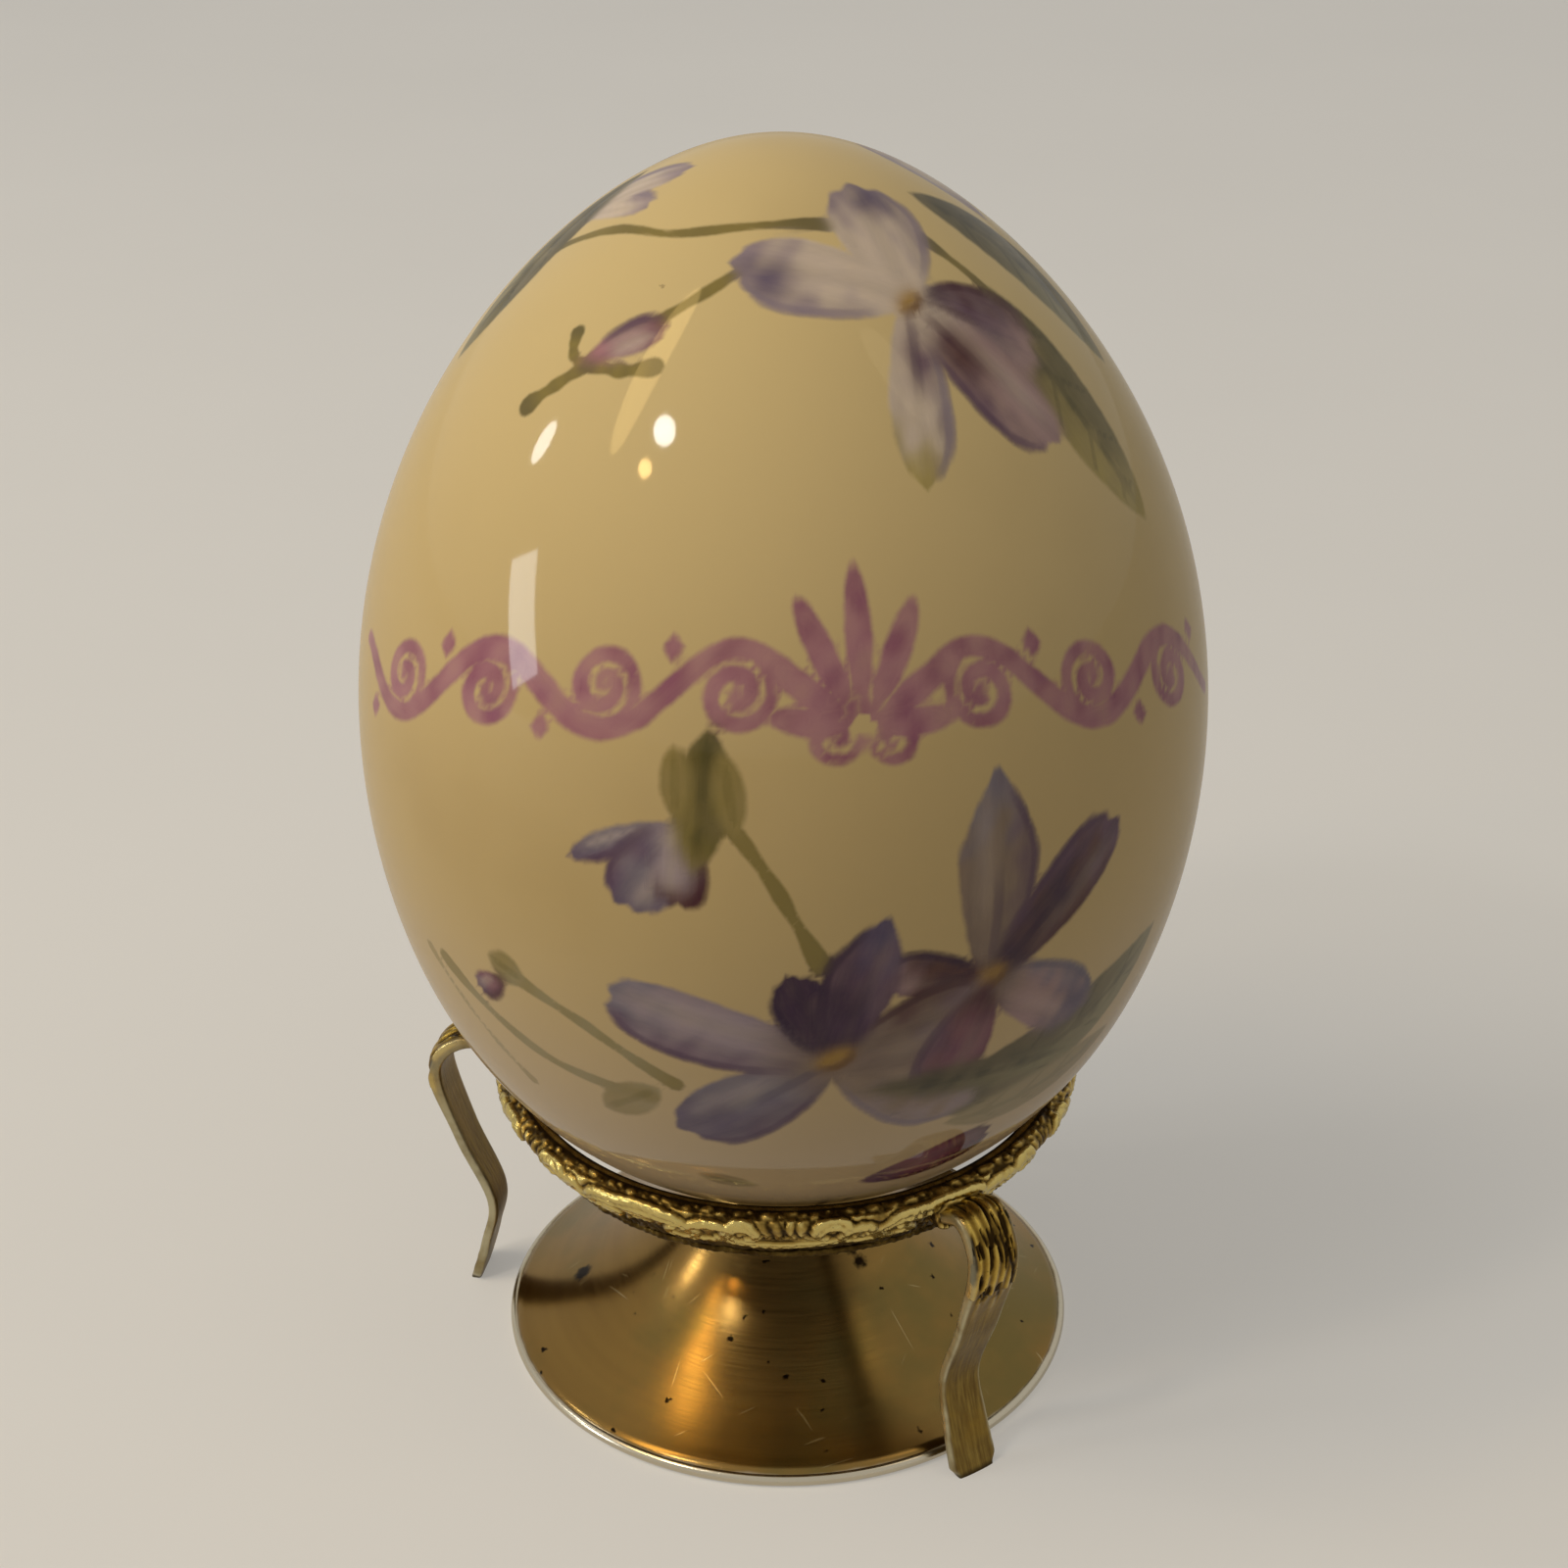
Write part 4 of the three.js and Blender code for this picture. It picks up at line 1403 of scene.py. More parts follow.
@dataclass(frozen=True)
class Stem:
    """A brush line through places of the egg, thick and dark at its ends."""

    places: tuple[Place, ...]
    width: float = 1.0
    light: Pigment = Pigment.OLIVE
    dark: Pigment = Pigment.DEEP_OLIVE
    density: float = 0.85

    def paint(self, canvas: Canvas, stage: Spray) -> None:
        """Paints the line where its spray stands.

        Args:
            canvas: What it is painted on.
            stage: The spray that it belongs to.
        """
        canvas.strokes += 1
        set_out = [stage.place(place) for place in self.places]
        middle = set_out[len(set_out) // 2]
        origin = canvas.form.point(*middle)
        points = np.array([canvas.form.point(*place) for place in set_out])
        right, up = canvas.unroll(origin, *middle, points)
        path = smooth_line(list(zip(right, up)), 10 * len(set_out))[0]
        reach = float(abs(path).max()) + 4
        near, east, north = canvas.around(*middle, reach)
        gap, share = path_distance(east, north, path)
        ends = abs(2 * share - 1)
        swell = 0.8 + 0.45 * ease(0.6, 1, ends) + 0.12 * np.sin(share * 19 + canvas.strokes)
        edge = 1.7 * (self.width / 2 * swell - gap)
        colour = self.light.rows(near)
        dark = held(ease(0.62, 1, ends) + 0.35 * np.sin(share * 13) ** 2)
        colour = lerp(colour, self.dark.row, dark)
        canvas.wash.lay(near, edge, colour, np.full(len(near), self.density))


@dataclass(frozen=True)
class Bloom:
    """A violet: five petals round an ochre eye, or the few that show of a bud."""

    place: Place
    petals: tuple[Petal, ...]
    eye: float = 1.7

    def paint(self, canvas: Canvas, stage: Spray) -> None:
        """Paints the flower where its spray stands.

        Args:
            canvas: What it is painted on.
            stage: The spray that it belongs to.
        """
        spot = stage.place(self.place)
        reach = max(petal.reach for petal in self.petals) + 5
        near, right, up = canvas.around(*spot, reach)
        right = right * stage.mirror
        for petal in self.petals:
            petal.paint(canvas, near, right, up)
        if self.eye > 0:
            self._paint_eye(canvas, near, right, up)

    def _paint_eye(self, canvas: Canvas, near: Array, right: Array, up: Array) -> None:
        """Paints the ochre eye, with an umber touch on its lower side.

        Args:
            canvas: What it is painted on.
            near: Numbers of the points.
            right: How far right of the heart each lies.
            up: How far up from it each lies.
        """
        lean = right * 0.85 + up * 0.5
        cross = up * 0.85 - right * 0.5
        edge = spot_edge(lean, cross, (self.eye, self.eye * 0.62), (2, 2))
        shade = ease(0.3, -0.9, cross / self.eye)
        colour = lerp(Pigment.OCHRE.rows(near), Pigment.UMBER.row, 0.75 * shade)
        canvas.wash.lay(near, edge, colour, np.full(len(near), 0.95))
        ring = 0.36 - abs(edge - 0.15)
        fade = ease(0.4, -0.6, cross / self.eye)
        canvas.ink.lay(near, np.where(fade > 0.02, ring, -2), Pigment.UMBER.rows(near), 0.75 * fade)


@dataclass(frozen=True)
class Spray:
    """A group of flowers, leaves and stems that is painted at a turn of the egg."""

    parts: tuple[Any, ...]
    turn: float = 0.0
    rise: float = 0.0
    mirror: float = 1.0

    def place(self, place: Place) -> Place:
        """Moves a place of the spray to where the spray stands."""
        return (self.turn + self.mirror * place[0], place[1] + self.rise)

    def paint(self, canvas: Canvas) -> None:
        """Paints all parts in order."""
        for part in self.parts:
            part.paint(canvas, self)


P = Pigment


def upper_spray() -> tuple[Any, ...]:
    """Lists the upper spray: a violet, its leaves on the right, and stems with a bud on the left.

    Returns:
        Its parts, in the order of painting.
    """
    return (
        Leaf((68, 122.8), (83, 107), 6.6, bow=1, density=0.96),
        Leaf((56, 117), (65.5, 96.5), 7.4, P.STRAW, P.DEEP_OLIVE, -1.2, 0.96),
        Stem(((50, 120.5), (58, 115.5), (60, 110)), 1.1),
        Stem(((18, 122.4), (-16, 122.3), (-40, 121.4), (-66, 120.3), (-88, 115.8)), 1.25),
        Stem(((-7, 120.4), (-24, 117.4), (-40.5, 112.8)), 1.3),
        Stem(((-40, 112.9), (-45.5, 110.9), (-50.5, 108.6)), 1.6),
        Stem(((-41, 112.6), (-33, 112.7), (-26, 113.3)), 1.6),
        Stem(((-41.5, 112.4), (-46, 112.9), (-48, 114.2)), 1.3),
        Bloom((-41.5, 113), (
            Petal(42, 7.2, 3.4, P.MAUVE, P.PINK_LILAC, P.MAGENTA, P.VIOLET, veins=0),), eye=0),
        Bloom((-95, 118.8), (
            Petal(50, 11, 3.6, P.LAVENDER, P.MILK, P.LAVENDER, P.LAVENDER, veins=0),
            Petal(74, 12.5, 4.2, P.LAVENDER, P.MILK, P.LAVENDER, P.LAVENDER, veins=0)), eye=0),
        Bloom((32.5, 117.2), (
            Petal(-110, 16.2, 5.6, P.MILK, P.MILK, P.STRAW, P.LAVENDER, 1, 0.8, density=0.9,
                  accent=P.VIOLET, accent_at=0.32),
            Petal(-24, 12.8, 7.8, P.DEEP_VIOLET, P.VIOLET, P.PINK_LILAC, P.PLUM, 1, -1, gleam=0.15),
            Petal(-62, 17.4, 7, P.MILK, P.PINK_LILAC, P.PINK_LILAC, P.VIOLET, -1, 1.2,
                  accent=P.PLUM, accent_at=0.36),
            Petal(80, 12.8, 8.4, P.MILK, P.MILK, P.LAVENDER, P.LAVENDER, -1, 0.6, 0,
                  accent=P.BLUE_VIOLET, accent_at=0.86),
            Petal(148, 14.8, 7.6, P.MILK, P.MILK, P.LAVENDER, P.LAVENDER, 1, -0.8, 0,
                  accent=P.BLUE_VIOLET, accent_at=0.82),
        ), eye=1.3),
    )


def lower_spray() -> tuple[Any, ...]:
    """Lists the lower spray: two violets over leaves, a hanging bud, and small buds on the left.

    Returns:
        Its parts, in the order of painting.
    """
    return (
        Leaf((14, 48.5), (60, 58.5), 9, bow=-2),
        Leaf((24, 45), (56, 48), 5.5, P.OLIVE, P.SAGE, bow=-0.6, density=0.6),
        Leaf((-27, 47), (-17.5, 51.5), 4.2, P.SAGE, P.OLIVE, density=0.6, side_veins=False),
        Leaf((-15, 38.6), (-5, 37.2), 2.6, density=0.5, side_veins=False),
        Stem(((-38, 60.8), (-27, 57.6), (-15, 52.4)), 1.5, P.SAGE, P.OLIVE, 0.75),
        Stem(((-52, 58), (-35, 51.8), (-19, 50.2)), 1.5, P.SAGE, P.OLIVE, 0.7),
        Stem(((-56, 58), (-47, 51.5), (-40, 47)), 0.9, P.SAGE, P.OLIVE, 0.5),
        Leaf((-41.5, 61.8), (-35.5, 60.4), 3.6, P.SAGE, P.OLIVE, density=0.75, side_veins=False),
        Bloom((-39.5, 59.6), (
            Petal(218, 4.6, 3, P.PLUM, P.MAGENTA, P.VIOLET, P.PLUM, veins=0),), eye=0),
        Stem(((-8.2, 81.5), (-1.5, 74.8), (4.5, 66.5)), 1.6, P.OLIVE, P.OLIVE, 0.8),
        Bloom((-12, 79.6), (
            Petal(196, 11, 2.6, P.BLUE_VIOLET, P.PALE_BLUE, P.BLUE_VIOLET, P.VIOLET, 1, 1.2, 0),
            Petal(232, 9.8, 6.4, P.LAVENDER, P.PALE_BLUE, P.BLUE_VIOLET, P.VIOLET, -1, 0.4, 1),
            Petal(-98, 7.6, 4.8, P.MILK, P.LAVENDER, P.PLUM, P.PLUM, 1, 0.6, 0,
                  accent=P.PLUM, accent_at=0.95),
        ), eye=0),
        Leaf((-9, 88), (-11, 75.4), 5, P.OLIVE, P.DEEP_OLIVE, density=0.95, side_veins=False),
        Leaf((-13.5, 86.5), (-13.2, 80), 2.6, P.OLIVE, P.OLIVE, density=0.7, side_veins=False),
        Leaf((-7.5, 86), (-5.8, 79), 2.8, P.OLIVE, P.OLIVE, density=0.7, side_veins=False),
        Bloom((13.5, 37), (
            Petal(12, 12.6, 6.4, P.VIOLET, P.MAGENTA, P.PLUM, P.PLUM, -1, 0.8, 0, gleam=0.1),), eye=0),
        Bloom((26.3, 62.6), (
            Petal(-30, 14.6, 7.2, P.SMOKE, P.PINK_LILAC, P.BLUE_VIOLET, P.PALE_BLUE, 1, -1.2, 0, gleam=0.15,
                  accent=P.BLUE_VIOLET, accent_at=0.9),
            Petal(86, 19.8, 8, P.SMOKE, P.SMOKE, P.PALE_BLUE, P.VIOLET, -1, 1, 1, 0.86, 0.2, True),
            Petal(43, 18, 6.8, P.DEEP_VIOLET, P.PLUM, P.VIOLET, P.VIOLET, 1, -0.5, gleam=0.2,
                  accent=P.DEEP_VIOLET, accent_at=0.5),
            Petal(164, 10.2, 4.8, P.PLUM, P.PLUM, P.PINK_LILAC, P.DEEP_VIOLET, -1, 0, 1, gleam=0.1),
        )),
        Bloom((6.3, 56.2), (
            Petal(-40, 16, 8.6, P.SMOKE, P.SMOKE, P.LAVENDER, P.LAVENDER, -1, 0.6, 0, 0.8, 0.2),
            Petal(-141, 17.2, 8.4, P.SMOKE, P.PALE_BLUE, P.BLUE_VIOLET, P.VIOLET, 1, 0.6, gleam=0.25,
                  accent=P.BLUE_VIOLET, accent_at=0.8),
            Petal(168, 20.8, 7.8, P.SMOKE, P.LAVENDER, P.PALE_BLUE, P.VIOLET, 1, -0.4, 0, gleam=0.3),
            Petal(12, 14.4, 8.8, P.SMOKE, P.SMOKE, P.LAVENDER, P.PLUM, 1, 0.8, 0, gleam=0.15),
            Petal(114, 10.2, 5.6, P.DEEP_VIOLET, P.DEEP_VIOLET, P.DEEP_VIOLET, P.DEEP_VIOLET, 1, 0, 1,
                  density=0.97, gleam=0),
            Petal(78, 15.4, 6.8, P.DEEP_VIOLET, P.VIOLET, P.BLUE_VIOLET, P.DEEP_VIOLET, 1, -0.9, 0,
                  density=0.97, gleam=0.1, pointed=True, accent=P.DEEP_VIOLET, accent_at=0.4),
        )),
        Bloom((26.3, 62), (
            Petal(-110, 12.6, 6.8, P.PLUM, P.MAGENTA, P.MAGENTA, P.VIOLET, -1, 0.5, 0,
                  density=0.9, gleam=0.1),), eye=0),
        Leaf((11, 51.9), (46, 49.4), 4.4, bow=0.8, density=0.97, side_veins=False),
    )


@dataclass(frozen=True)
class ScrollFrieze:
    """A band of running scrolls and lozenges across the front, with one tall palmette in it."""

    mid_height: float = 91.2
    sag: float = 14.0
    skin_radius: float = 39.0
    slope_stretch: float = 1.06
    hump: float = 12.0
    swing: float = 3.4
    line_width: float = 2.0
    palmette_turn: float = 10.0
    left_humps: int = 4
    right_humps: int = 3
    wing_gap: float = 4.6

    def paint(self, canvas: Canvas) -> None:
        """Paints the band on the egg.

        Args:
            canvas: What it is painted on.
        """
        azimuth = np.arctan2(canvas.points[:, 0], -canvas.points[:, 1])
        line = self.mid_height - self.sag * (1 - np.cos(azimuth))
        up_all = (canvas.points[:, 2] - line) * self.slope_stretch
        near = np.flatnonzero((abs(azimuth) < radians(96)) & (abs(up_all) < 15))
        middle = radians(self.palmette_turn) * self.skin_radius
        across = azimuth[near] * self.skin_radius - middle
        up = up_all[near]
        for side, humps in ((-1, self.left_humps), (1, self.right_humps)):
            for path, width in self._wing(side, humps):
                self._stroke(canvas, near, across, up, path, width)
            for x, y, size in self._lozenges(side, humps):
                edge = spot_edge(across - x, up - y, (size, size * 1.25), (1.15, 1.15))
                self._lay(canvas, near, edge, np.zeros(len(near)))
        self._palmette(canvas, near, across, up)

    def _wing(self, side: float, humps: int) -> list[tuple[Array, float]]:
        """Lists the strokes of one wing: the waving stem and a spiral in each hump.

        Args:
            side: 1 for the right wing and -1 for the left.
            humps: How many humps it has.

        Returns:
            Each stroke's path and width.
        """
        strokes = []
        start = self.wing_gap
        run = np.linspace(0, humps + 0.35, 24 * humps)
        stem = columns(side * (start + run * self.hump), self.swing * np.sin(pi * run))
        strokes.append((stem, self.line_width))
        for hump in range(humps):
            lift = 1 if hump % 2 == 0 else -1
            centre = np.array([side * (start + (hump + 0.52) * self.hump), -lift * 0.35])
            turn = np.linspace(-0.15, 1.32, 34) * FULL_TURN
            radius = np.linspace(3.3, 0.75, 34)
            curl = columns(-side * np.cos(turn) * radius, -lift * np.sin(turn) * radius)
            strokes.append((centre + curl, self.line_width * 0.68))
        return strokes

    def _lozenges(self, side: float, humps: int) -> list[tuple[float, float, float]]:
        """Lists the lozenges outside the humps and in the middles of the spirals.

        Args:
            side: 1 for the right wing and -1 for the left.
            humps: How many humps it has.

        Returns:
            Each lozenge's place and size.
        """
        spots = []
        for hump in range(humps):
            lift = 1 if hump % 2 == 0 else -1
            spots.append((side * (self.wing_gap + (hump + 1) * self.hump), lift * 3.5, 1.05))
            spots.append((side * (self.wing_gap + (hump + 0.52) * self.hump), -lift * 0.35, 0.75))
        return spots

    def _palmette(self, canvas: Canvas, near: Array, across: Array, up: Array) -> None:
        """Paints a fan of seven lobes over two small volutes.

        Args:
            canvas: What it is painted on.
            near: Numbers of the points.
            across: Distance from the palmette's middle line.
            up: Height over the band's middle line.
        """
        foot = -3.6
        for lobe in range(-3, 4):
            lean = radians(27 * lobe)
            reach = 13.6 - 1.35 * abs(lobe) ** 1.25
            along = (up - foot) * cos(lean) + across * sin(lean)
            side = across * cos(lean) - (up - foot) * sin(lean)
            edge = spot_edge(along - 0.6 * reach, side, (0.4 * reach, 1.25), (2.2, 2))
            stalk = 0.5 - abs(side)
            stalk = np.where((along > 1.2) & (along < 0.7 * reach), stalk, -2)
            self._lay(canvas, near, np.maximum(edge, stalk), held(along / reach))
        for side in (-1, 1):
            turn = np.linspace(0, 1.2, 30) * FULL_TURN
            radius = np.linspace(2.2, 0.6, 30)
            curl = columns(side * (2.6 - radius * np.cos(turn)), foot - 0.6 - radius * np.sin(turn))
            self._stroke(canvas, near, across, up, curl, 1.05)

    def _stroke(self, canvas: Canvas, near: Array, across: Array, up: Array,
                path: Array, width: float) -> None:
        """Paints one stroke that swells in its middle.

        Args:
            canvas: What it is painted on.
            near: Numbers of the points.
            across: Distance from the palmette's middle line.
            up: Height over the band's middle line.
            path: The stroke's corners.
            width: Its width.
        """
        gap, share = path_distance(across, up, path)
        swell = 0.72 + 0.42 * np.sin(pi * held(share))
        self._lay(canvas, near, width / 2 * swell - gap, share)

    def _lay(self, canvas: Canvas, near: Array, edge: Array, share: Array) -> None:
        """Lays mauve paint that pools a little darker in patches along the stroke.

        Args:
            canvas: What it is painted on.
            near: Numbers of the points.
            edge: Distance to the paint's edge.
            share: How much of the stroke is passed.
        """
        pool = ease(-0.6, 1, canvas.mottle[near] + 0.4 * np.sin(share * 9))
        colour = lerp(P.MAUVE.rows(near), P.DEEP_MAUVE.row, 0.7 * pool)
        canvas.wash.lay(near, edge, colour, 0.86 + 0.1 * canvas.mottle[near])
        inside = edge > -0.5
        flow = columns(edge, share * 25.0, np.full(len(near), 3.0))
        canvas.flow[near[inside]] = flow[inside]


# Sub-assemblies


@dataclass
class PaintedEgg:
    """The hollow porcelain egg, with its vent in the foot and its painted sprays."""

    form: EggForm
    segments: int = 420
    fine_rings: int = 209
    foot_rings: int = 11
    inner_rings: int = 12
    fine_until: float = 27.0
    lip_round: float = 0.4
    sprays: tuple[Spray, ...] = (
        Spray(lower_spray()), Spray(upper_spray()),
        Spray(lower_spray(), turn=178, rise=-1.5, mirror=-1), Spray(upper_spray(), turn=190))

    def build(self) -> None:
        """Builds, paints and dresses the egg."""
        form = self.form
        vent = form.vent / 2
        outer_end = form.angle_at_radius(vent + self.lip_round)
        inner_end = form.angle_at_radius(vent + self.lip_round, -form.wall)
        turn_down = form.angle_at_height(self.fine_until)
        fine = form.even_angles(0, turn_down, self.fine_rings)
        coarse = form.even_angles(turn_down, outer_end, self.foot_rings)[1:]
        outer = list(zip(*form.outline(np.concatenate([fine, coarse]))))
        inside = form.even_angles(inner_end, 0, self.inner_rings, -form.wall)
        inner = list(zip(*form.outline(inside, -form.wall)))
        bottom, ceiling = outer[-1][1], inner[0][1]
        throat = [(vent, bottom + self.lip_round), (vent, ceiling - self.lip_round)]
        profile = [(0, outer[0][1]), *outer[1:], *throat, *inner[:-1], (0, inner[-1][1])]
        egg = spun("painted_egg", profile, self.segments, closed=False)
        self._paint(egg)
        finish_piece(egg, PaintedGlaze().material(), "egg", "porcelain", "egg_shell", crease=60)

    def _paint(self, egg: Piece) -> None:
        """Paints the sprays and the frieze on the outer skin.

        Args:
            egg: The egg's mesh object.
        """
        points = vertex_array(egg)
        radius = np.hypot(points[:, 0], points[:, 1])
        angle = np.arccos(np.clip((points[:, 2] - self.form.middle) / (self.form.height / 2), -1, 1))
        skin = np.flatnonzero(radius > self.form.outline(angle)[0] - self.form.wall / 2)
        canvas = Canvas(self.form, points[skin])
        ScrollFrieze().paint(canvas)
        for spray in self.sprays:
            spray.paint(canvas)
        for name, coat in (("wash", canvas.wash), ("ink", canvas.ink)):
            colours, density = np.zeros((len(points), 3)), np.zeros(len(points))
            edge = np.full(len(points), PaintLayer.far_outside)
            colours[skin], density[skin], edge[skin] = coat.colour, coat.density, coat.edge
            add_layer(egg, f"{name}_tint", held(np.column_stack([colours, density])))
            add_layer(egg, f"{name}_edge", edge)
        flow = np.zeros((len(points), 3))
        flow[skin] = canvas.flow
        add_layer(egg, "paint_flow", flow)
        LOG.info("painted_egg carries %d brush strokes", canvas.strokes)


@dataclass
class ScrollCollar:
    """The cast ring that the egg sits in, with scrolls, curls and pebbles raised on its rounded face."""

    top: float = 32.1
    height: float = 7.1
    seat_radius: float = 26.6
    lip_width: float = 1.0
    lip_thickness: float = 1.1
    lip_edge: float = 0.35
    band_thickness: float = 1.5
    band_swell: float = 1.4
    band_taper: float = 3.9
    hem_height: float = 0.8
    hem_depth: float = 0.35
    hem_heading: Place = (3.1, 4.1)
    lip_heading: Place = (3.0, -0.5)
    scroll_count: int = 12
    scroll_length: float = 12.0
    scroll_rise: float = 0.8
    volute_radius: float = 2.3
    volute_eye: float = 0.75
    volute_turns: float = 0.95
    ridge_width: float = 1.4
    relief: float = 0.5
    strand_gap: float = 0.95
    pebble_count: int = 137
    pebble_row: float = 0.6
    segments: int = 1000
    wall_rings: int = 60
    boss_face: float = 29.9
    boss_top: float = 31.4
    boss_size: Place = (5.4, 3.3)

    @property
    def wall_bottom(self) -> Array:
        """Radius and height of the face's lower edge."""
        band = self.seat_radius + self.lip_width + self.band_swell
        return np.array([band - self.band_taper, self.top - self.height + self.hem_height])

    @property
    def wall_top(self) -> Array:
        """Radius and height of the face's upper edge."""
        return np.array([self.seat_radius + self.lip_width, self.top])

    @property
    def middle_radius(self) -> float:
        """Radius at which distances round the ornament are measured."""
        return (self.wall_bottom[0] + self.seat_radius + self.lip_width + self.band_swell) / 2

    def build(self) -> None:
        """Builds, carves and dresses the collar."""
        profile, face = self._profile()
        collar = spun("scroll_collar", profile, self.segments)
        self._carve(collar, np.array(profile), face)
        join_pieces(collar, [self._boss(turn) for turn in LEG_TURNS.values()])
        material = GiltCasting().material()
        finish_piece(collar, material, "ring_stand", "gilt_ring", "ring_collar", crease=75)

    def _face(self) -> tuple[Array, Array]:
        """Gives evenly spaced points of the rounded face from hem to lip.

        Returns:
            The points and the unit directions there.
        """
        low, high = self.wall_bottom, self.wall_top
        controls = (low, low + self.hem_heading, high + self.lip_heading, high)
        points = even_places(swept(controls, 400), self.wall_rings)
        return points, directions(points)

    def _profile(self) -> tuple[list[Place], dict[int, tuple[float, Place]]]:
        """Lists the section's outline: foot, rolled hem, rounded face, lip and bore.

        Returns:
            The outline, and for each of its face points the distance up the face and the way out.
        """
        seat, lip, top = self.seat_radius, self.lip_thickness, self.top
        bottom = top - self.height
        low = self.wall_bottom
        bore = low[0] - self.band_thickness
        profile = [(bore, bottom), (bore + 0.5, bottom), (low[0] - 0.25, bottom)]
        for step in range(8):
            turn = -pi / 2 + pi * (step + 0.5) / 8
            profile.append((low[0] + self.hem_depth * cos(turn),
                            bottom + self.hem_height / 2 * (1 + sin(turn))))
        points, runs = self._face()
        length = float(np.linalg.norm(np.diff(points, axis=0), axis=1).sum())
        face = {}
        for step, (point, run) in enumerate(zip(points, runs)):
            face[len(profile)] = (length * step / (len(points) - 1), (run[1], -run[0]))
            profile.append(tuple(point))
        for share in (0.3, 0.6):
            profile.append((self.wall_top[0] - share * (self.lip_width - self.lip_edge / 2), top))
        profile += [(seat + self.lip_edge / 2, top - 0.03),
                    (seat, top - self.lip_edge / 2),
                    (seat, top - lip)]
        for share in (0.33, 0.67):
            profile.append((seat + share * (bore - seat), top - lip - share * (self.height - lip)))
        return profile, face

    def _carve(self, collar: Piece, profile: Array, face: dict[int, tuple[float, Place]]) -> None:
        """Raises the ornament out of the face and roughens the hem a little.

        Args:
            collar: The collar's mesh object.
            profile: The section's outline, one row for each corner.
            face: For each of its face points the distance up the face and the way out.
        """
        points = vertex_array(collar)
        radius = np.hypot(points[:, 0], points[:, 1])
        turn = np.arctan2(points[:, 1], points[:, 0])
        gaps = np.hypot(radius[:, None] - profile[:, 0], points[:, 2][:, None] - profile[:, 1])
        station = gaps.argmin(axis=1)
        rise = np.full(len(profile), -1.0)
        out = np.tile([1.0, 0.0], (len(profile), 1))
        for index, (distance, way) in face.items():
            rise[index] = distance
            out[index] = way
        length = rise.max()
        up = rise[station]
        on_face = up >= 0
        lift = np.zeros(len(points))
        edge_fade = ease(0, 0.3, up) * ease(length, length - 0.35, up)
        along = turn[on_face] * self.middle_radius
        lift[on_face] = self._ornament(along, up[on_face] - length / 2, length, points[on_face])
        lift *= np.where(on_face, edge_fade, 1)
        hammered = SoftNoise(5, 1.1)(points) * 0.6 + SoftNoise(6, 2.6)(points) * 0.5
        on_hem = ~on_face & (radius > self.wall_bottom[0] - 0.1) & (points[:, 2] < self.wall_bottom[1])
        ropes = np.sin(turn * 190 + 2 * hammered)
        lift[on_hem] = 0.12 * hammered[on_hem] + 0.05 * ropes[on_hem]
        on_lip = ~on_face & (radius > self.seat_radius + 0.2) & (points[:, 2] > self.top - 0.05)
        points[:, 0] += np.cos(turn) * lift * out[station, 0]
        points[:, 1] += np.sin(turn) * lift * out[station, 0]
        points[:, 2] += lift * out[station, 1] - np.where(on_lip, 0.05 + 0.04 * hammered, 0)
        set_vertices(collar, points)
        # Relief tone for the gilding: high for painted highlight on crests, low for painted shade and patina
        # in hollows; lip and hem get mid tones, the bore a low one
        shade = held(lift / self.relief)
        shade[on_lip] = held(0.6 + 0.3 * hammered[on_lip])
        shade[on_hem] = held(0.55 + 0.4 * hammered[on_hem] + 0.15 * ropes[on_hem])
        shade[radius < self.seat_radius + 0.02] = 0.2
        add_layer(collar, "relief", shade)

    def _ornament(self, along: Array, up: Array, length: float, points: Array) -> Array:
        """Gives the height of the relief.

        Args:
            along: Distance round the face.
            up: Distance up from its middle line.
            length: Distance from its lower to its upper edge.
            points: The same points in space.

        Returns:
            The height for each point.
        """
        pitch = FULL_TURN * self.middle_radius / self.scroll_count
        bent = along + 0.5 * SoftNoise(21, 7)(points)
        unit = np.floor(bent / pitch + 0.5)
        across = bent - unit * pitch
        rise = (up - 0.5 + 0.3 * SoftNoise(22, 6)(points)) * np.where(unit.astype(int) % 2 == 0, 1, -1)
        height, gap = self._scroll(across, rise)
        for side in (-1, 1):
            for part, part_gap in (self._scroll(across - side * pitch, -rise),
                                   self._curl(across - side * pitch / 2, rise * side)):
                height = np.maximum(height, part)
                gap = np.minimum(gap, part_gap)
        phase = FULL_TURN * (gap + 0.16 * SoftNoise(24, 3)(points)) / self.strand_gap
        strands = np.sqrt(held(0.5 - 0.5 * np.cos(phase))) * ease(0, 0.25, gap)
        patchy = ease(-0.9, 0.6, SoftNoise(27, 4)(points))
        height = np.maximum(height, self.relief * strands * (0.25 + 0.5 * patchy))
        upper = ease(length / 2 - 1.3, length / 2 - 1, up)
        pebbles = self._pebbles(along, up - length / 2 + self.pebble_row, points)
        chased = 0.05 * SoftNoise(23, 0.8)(points) + 0.04 * SoftNoise(25, 0.45)(points)
        return height * (1 - upper) + np.maximum(pebbles, 0.1) * upper + chased + 0.02

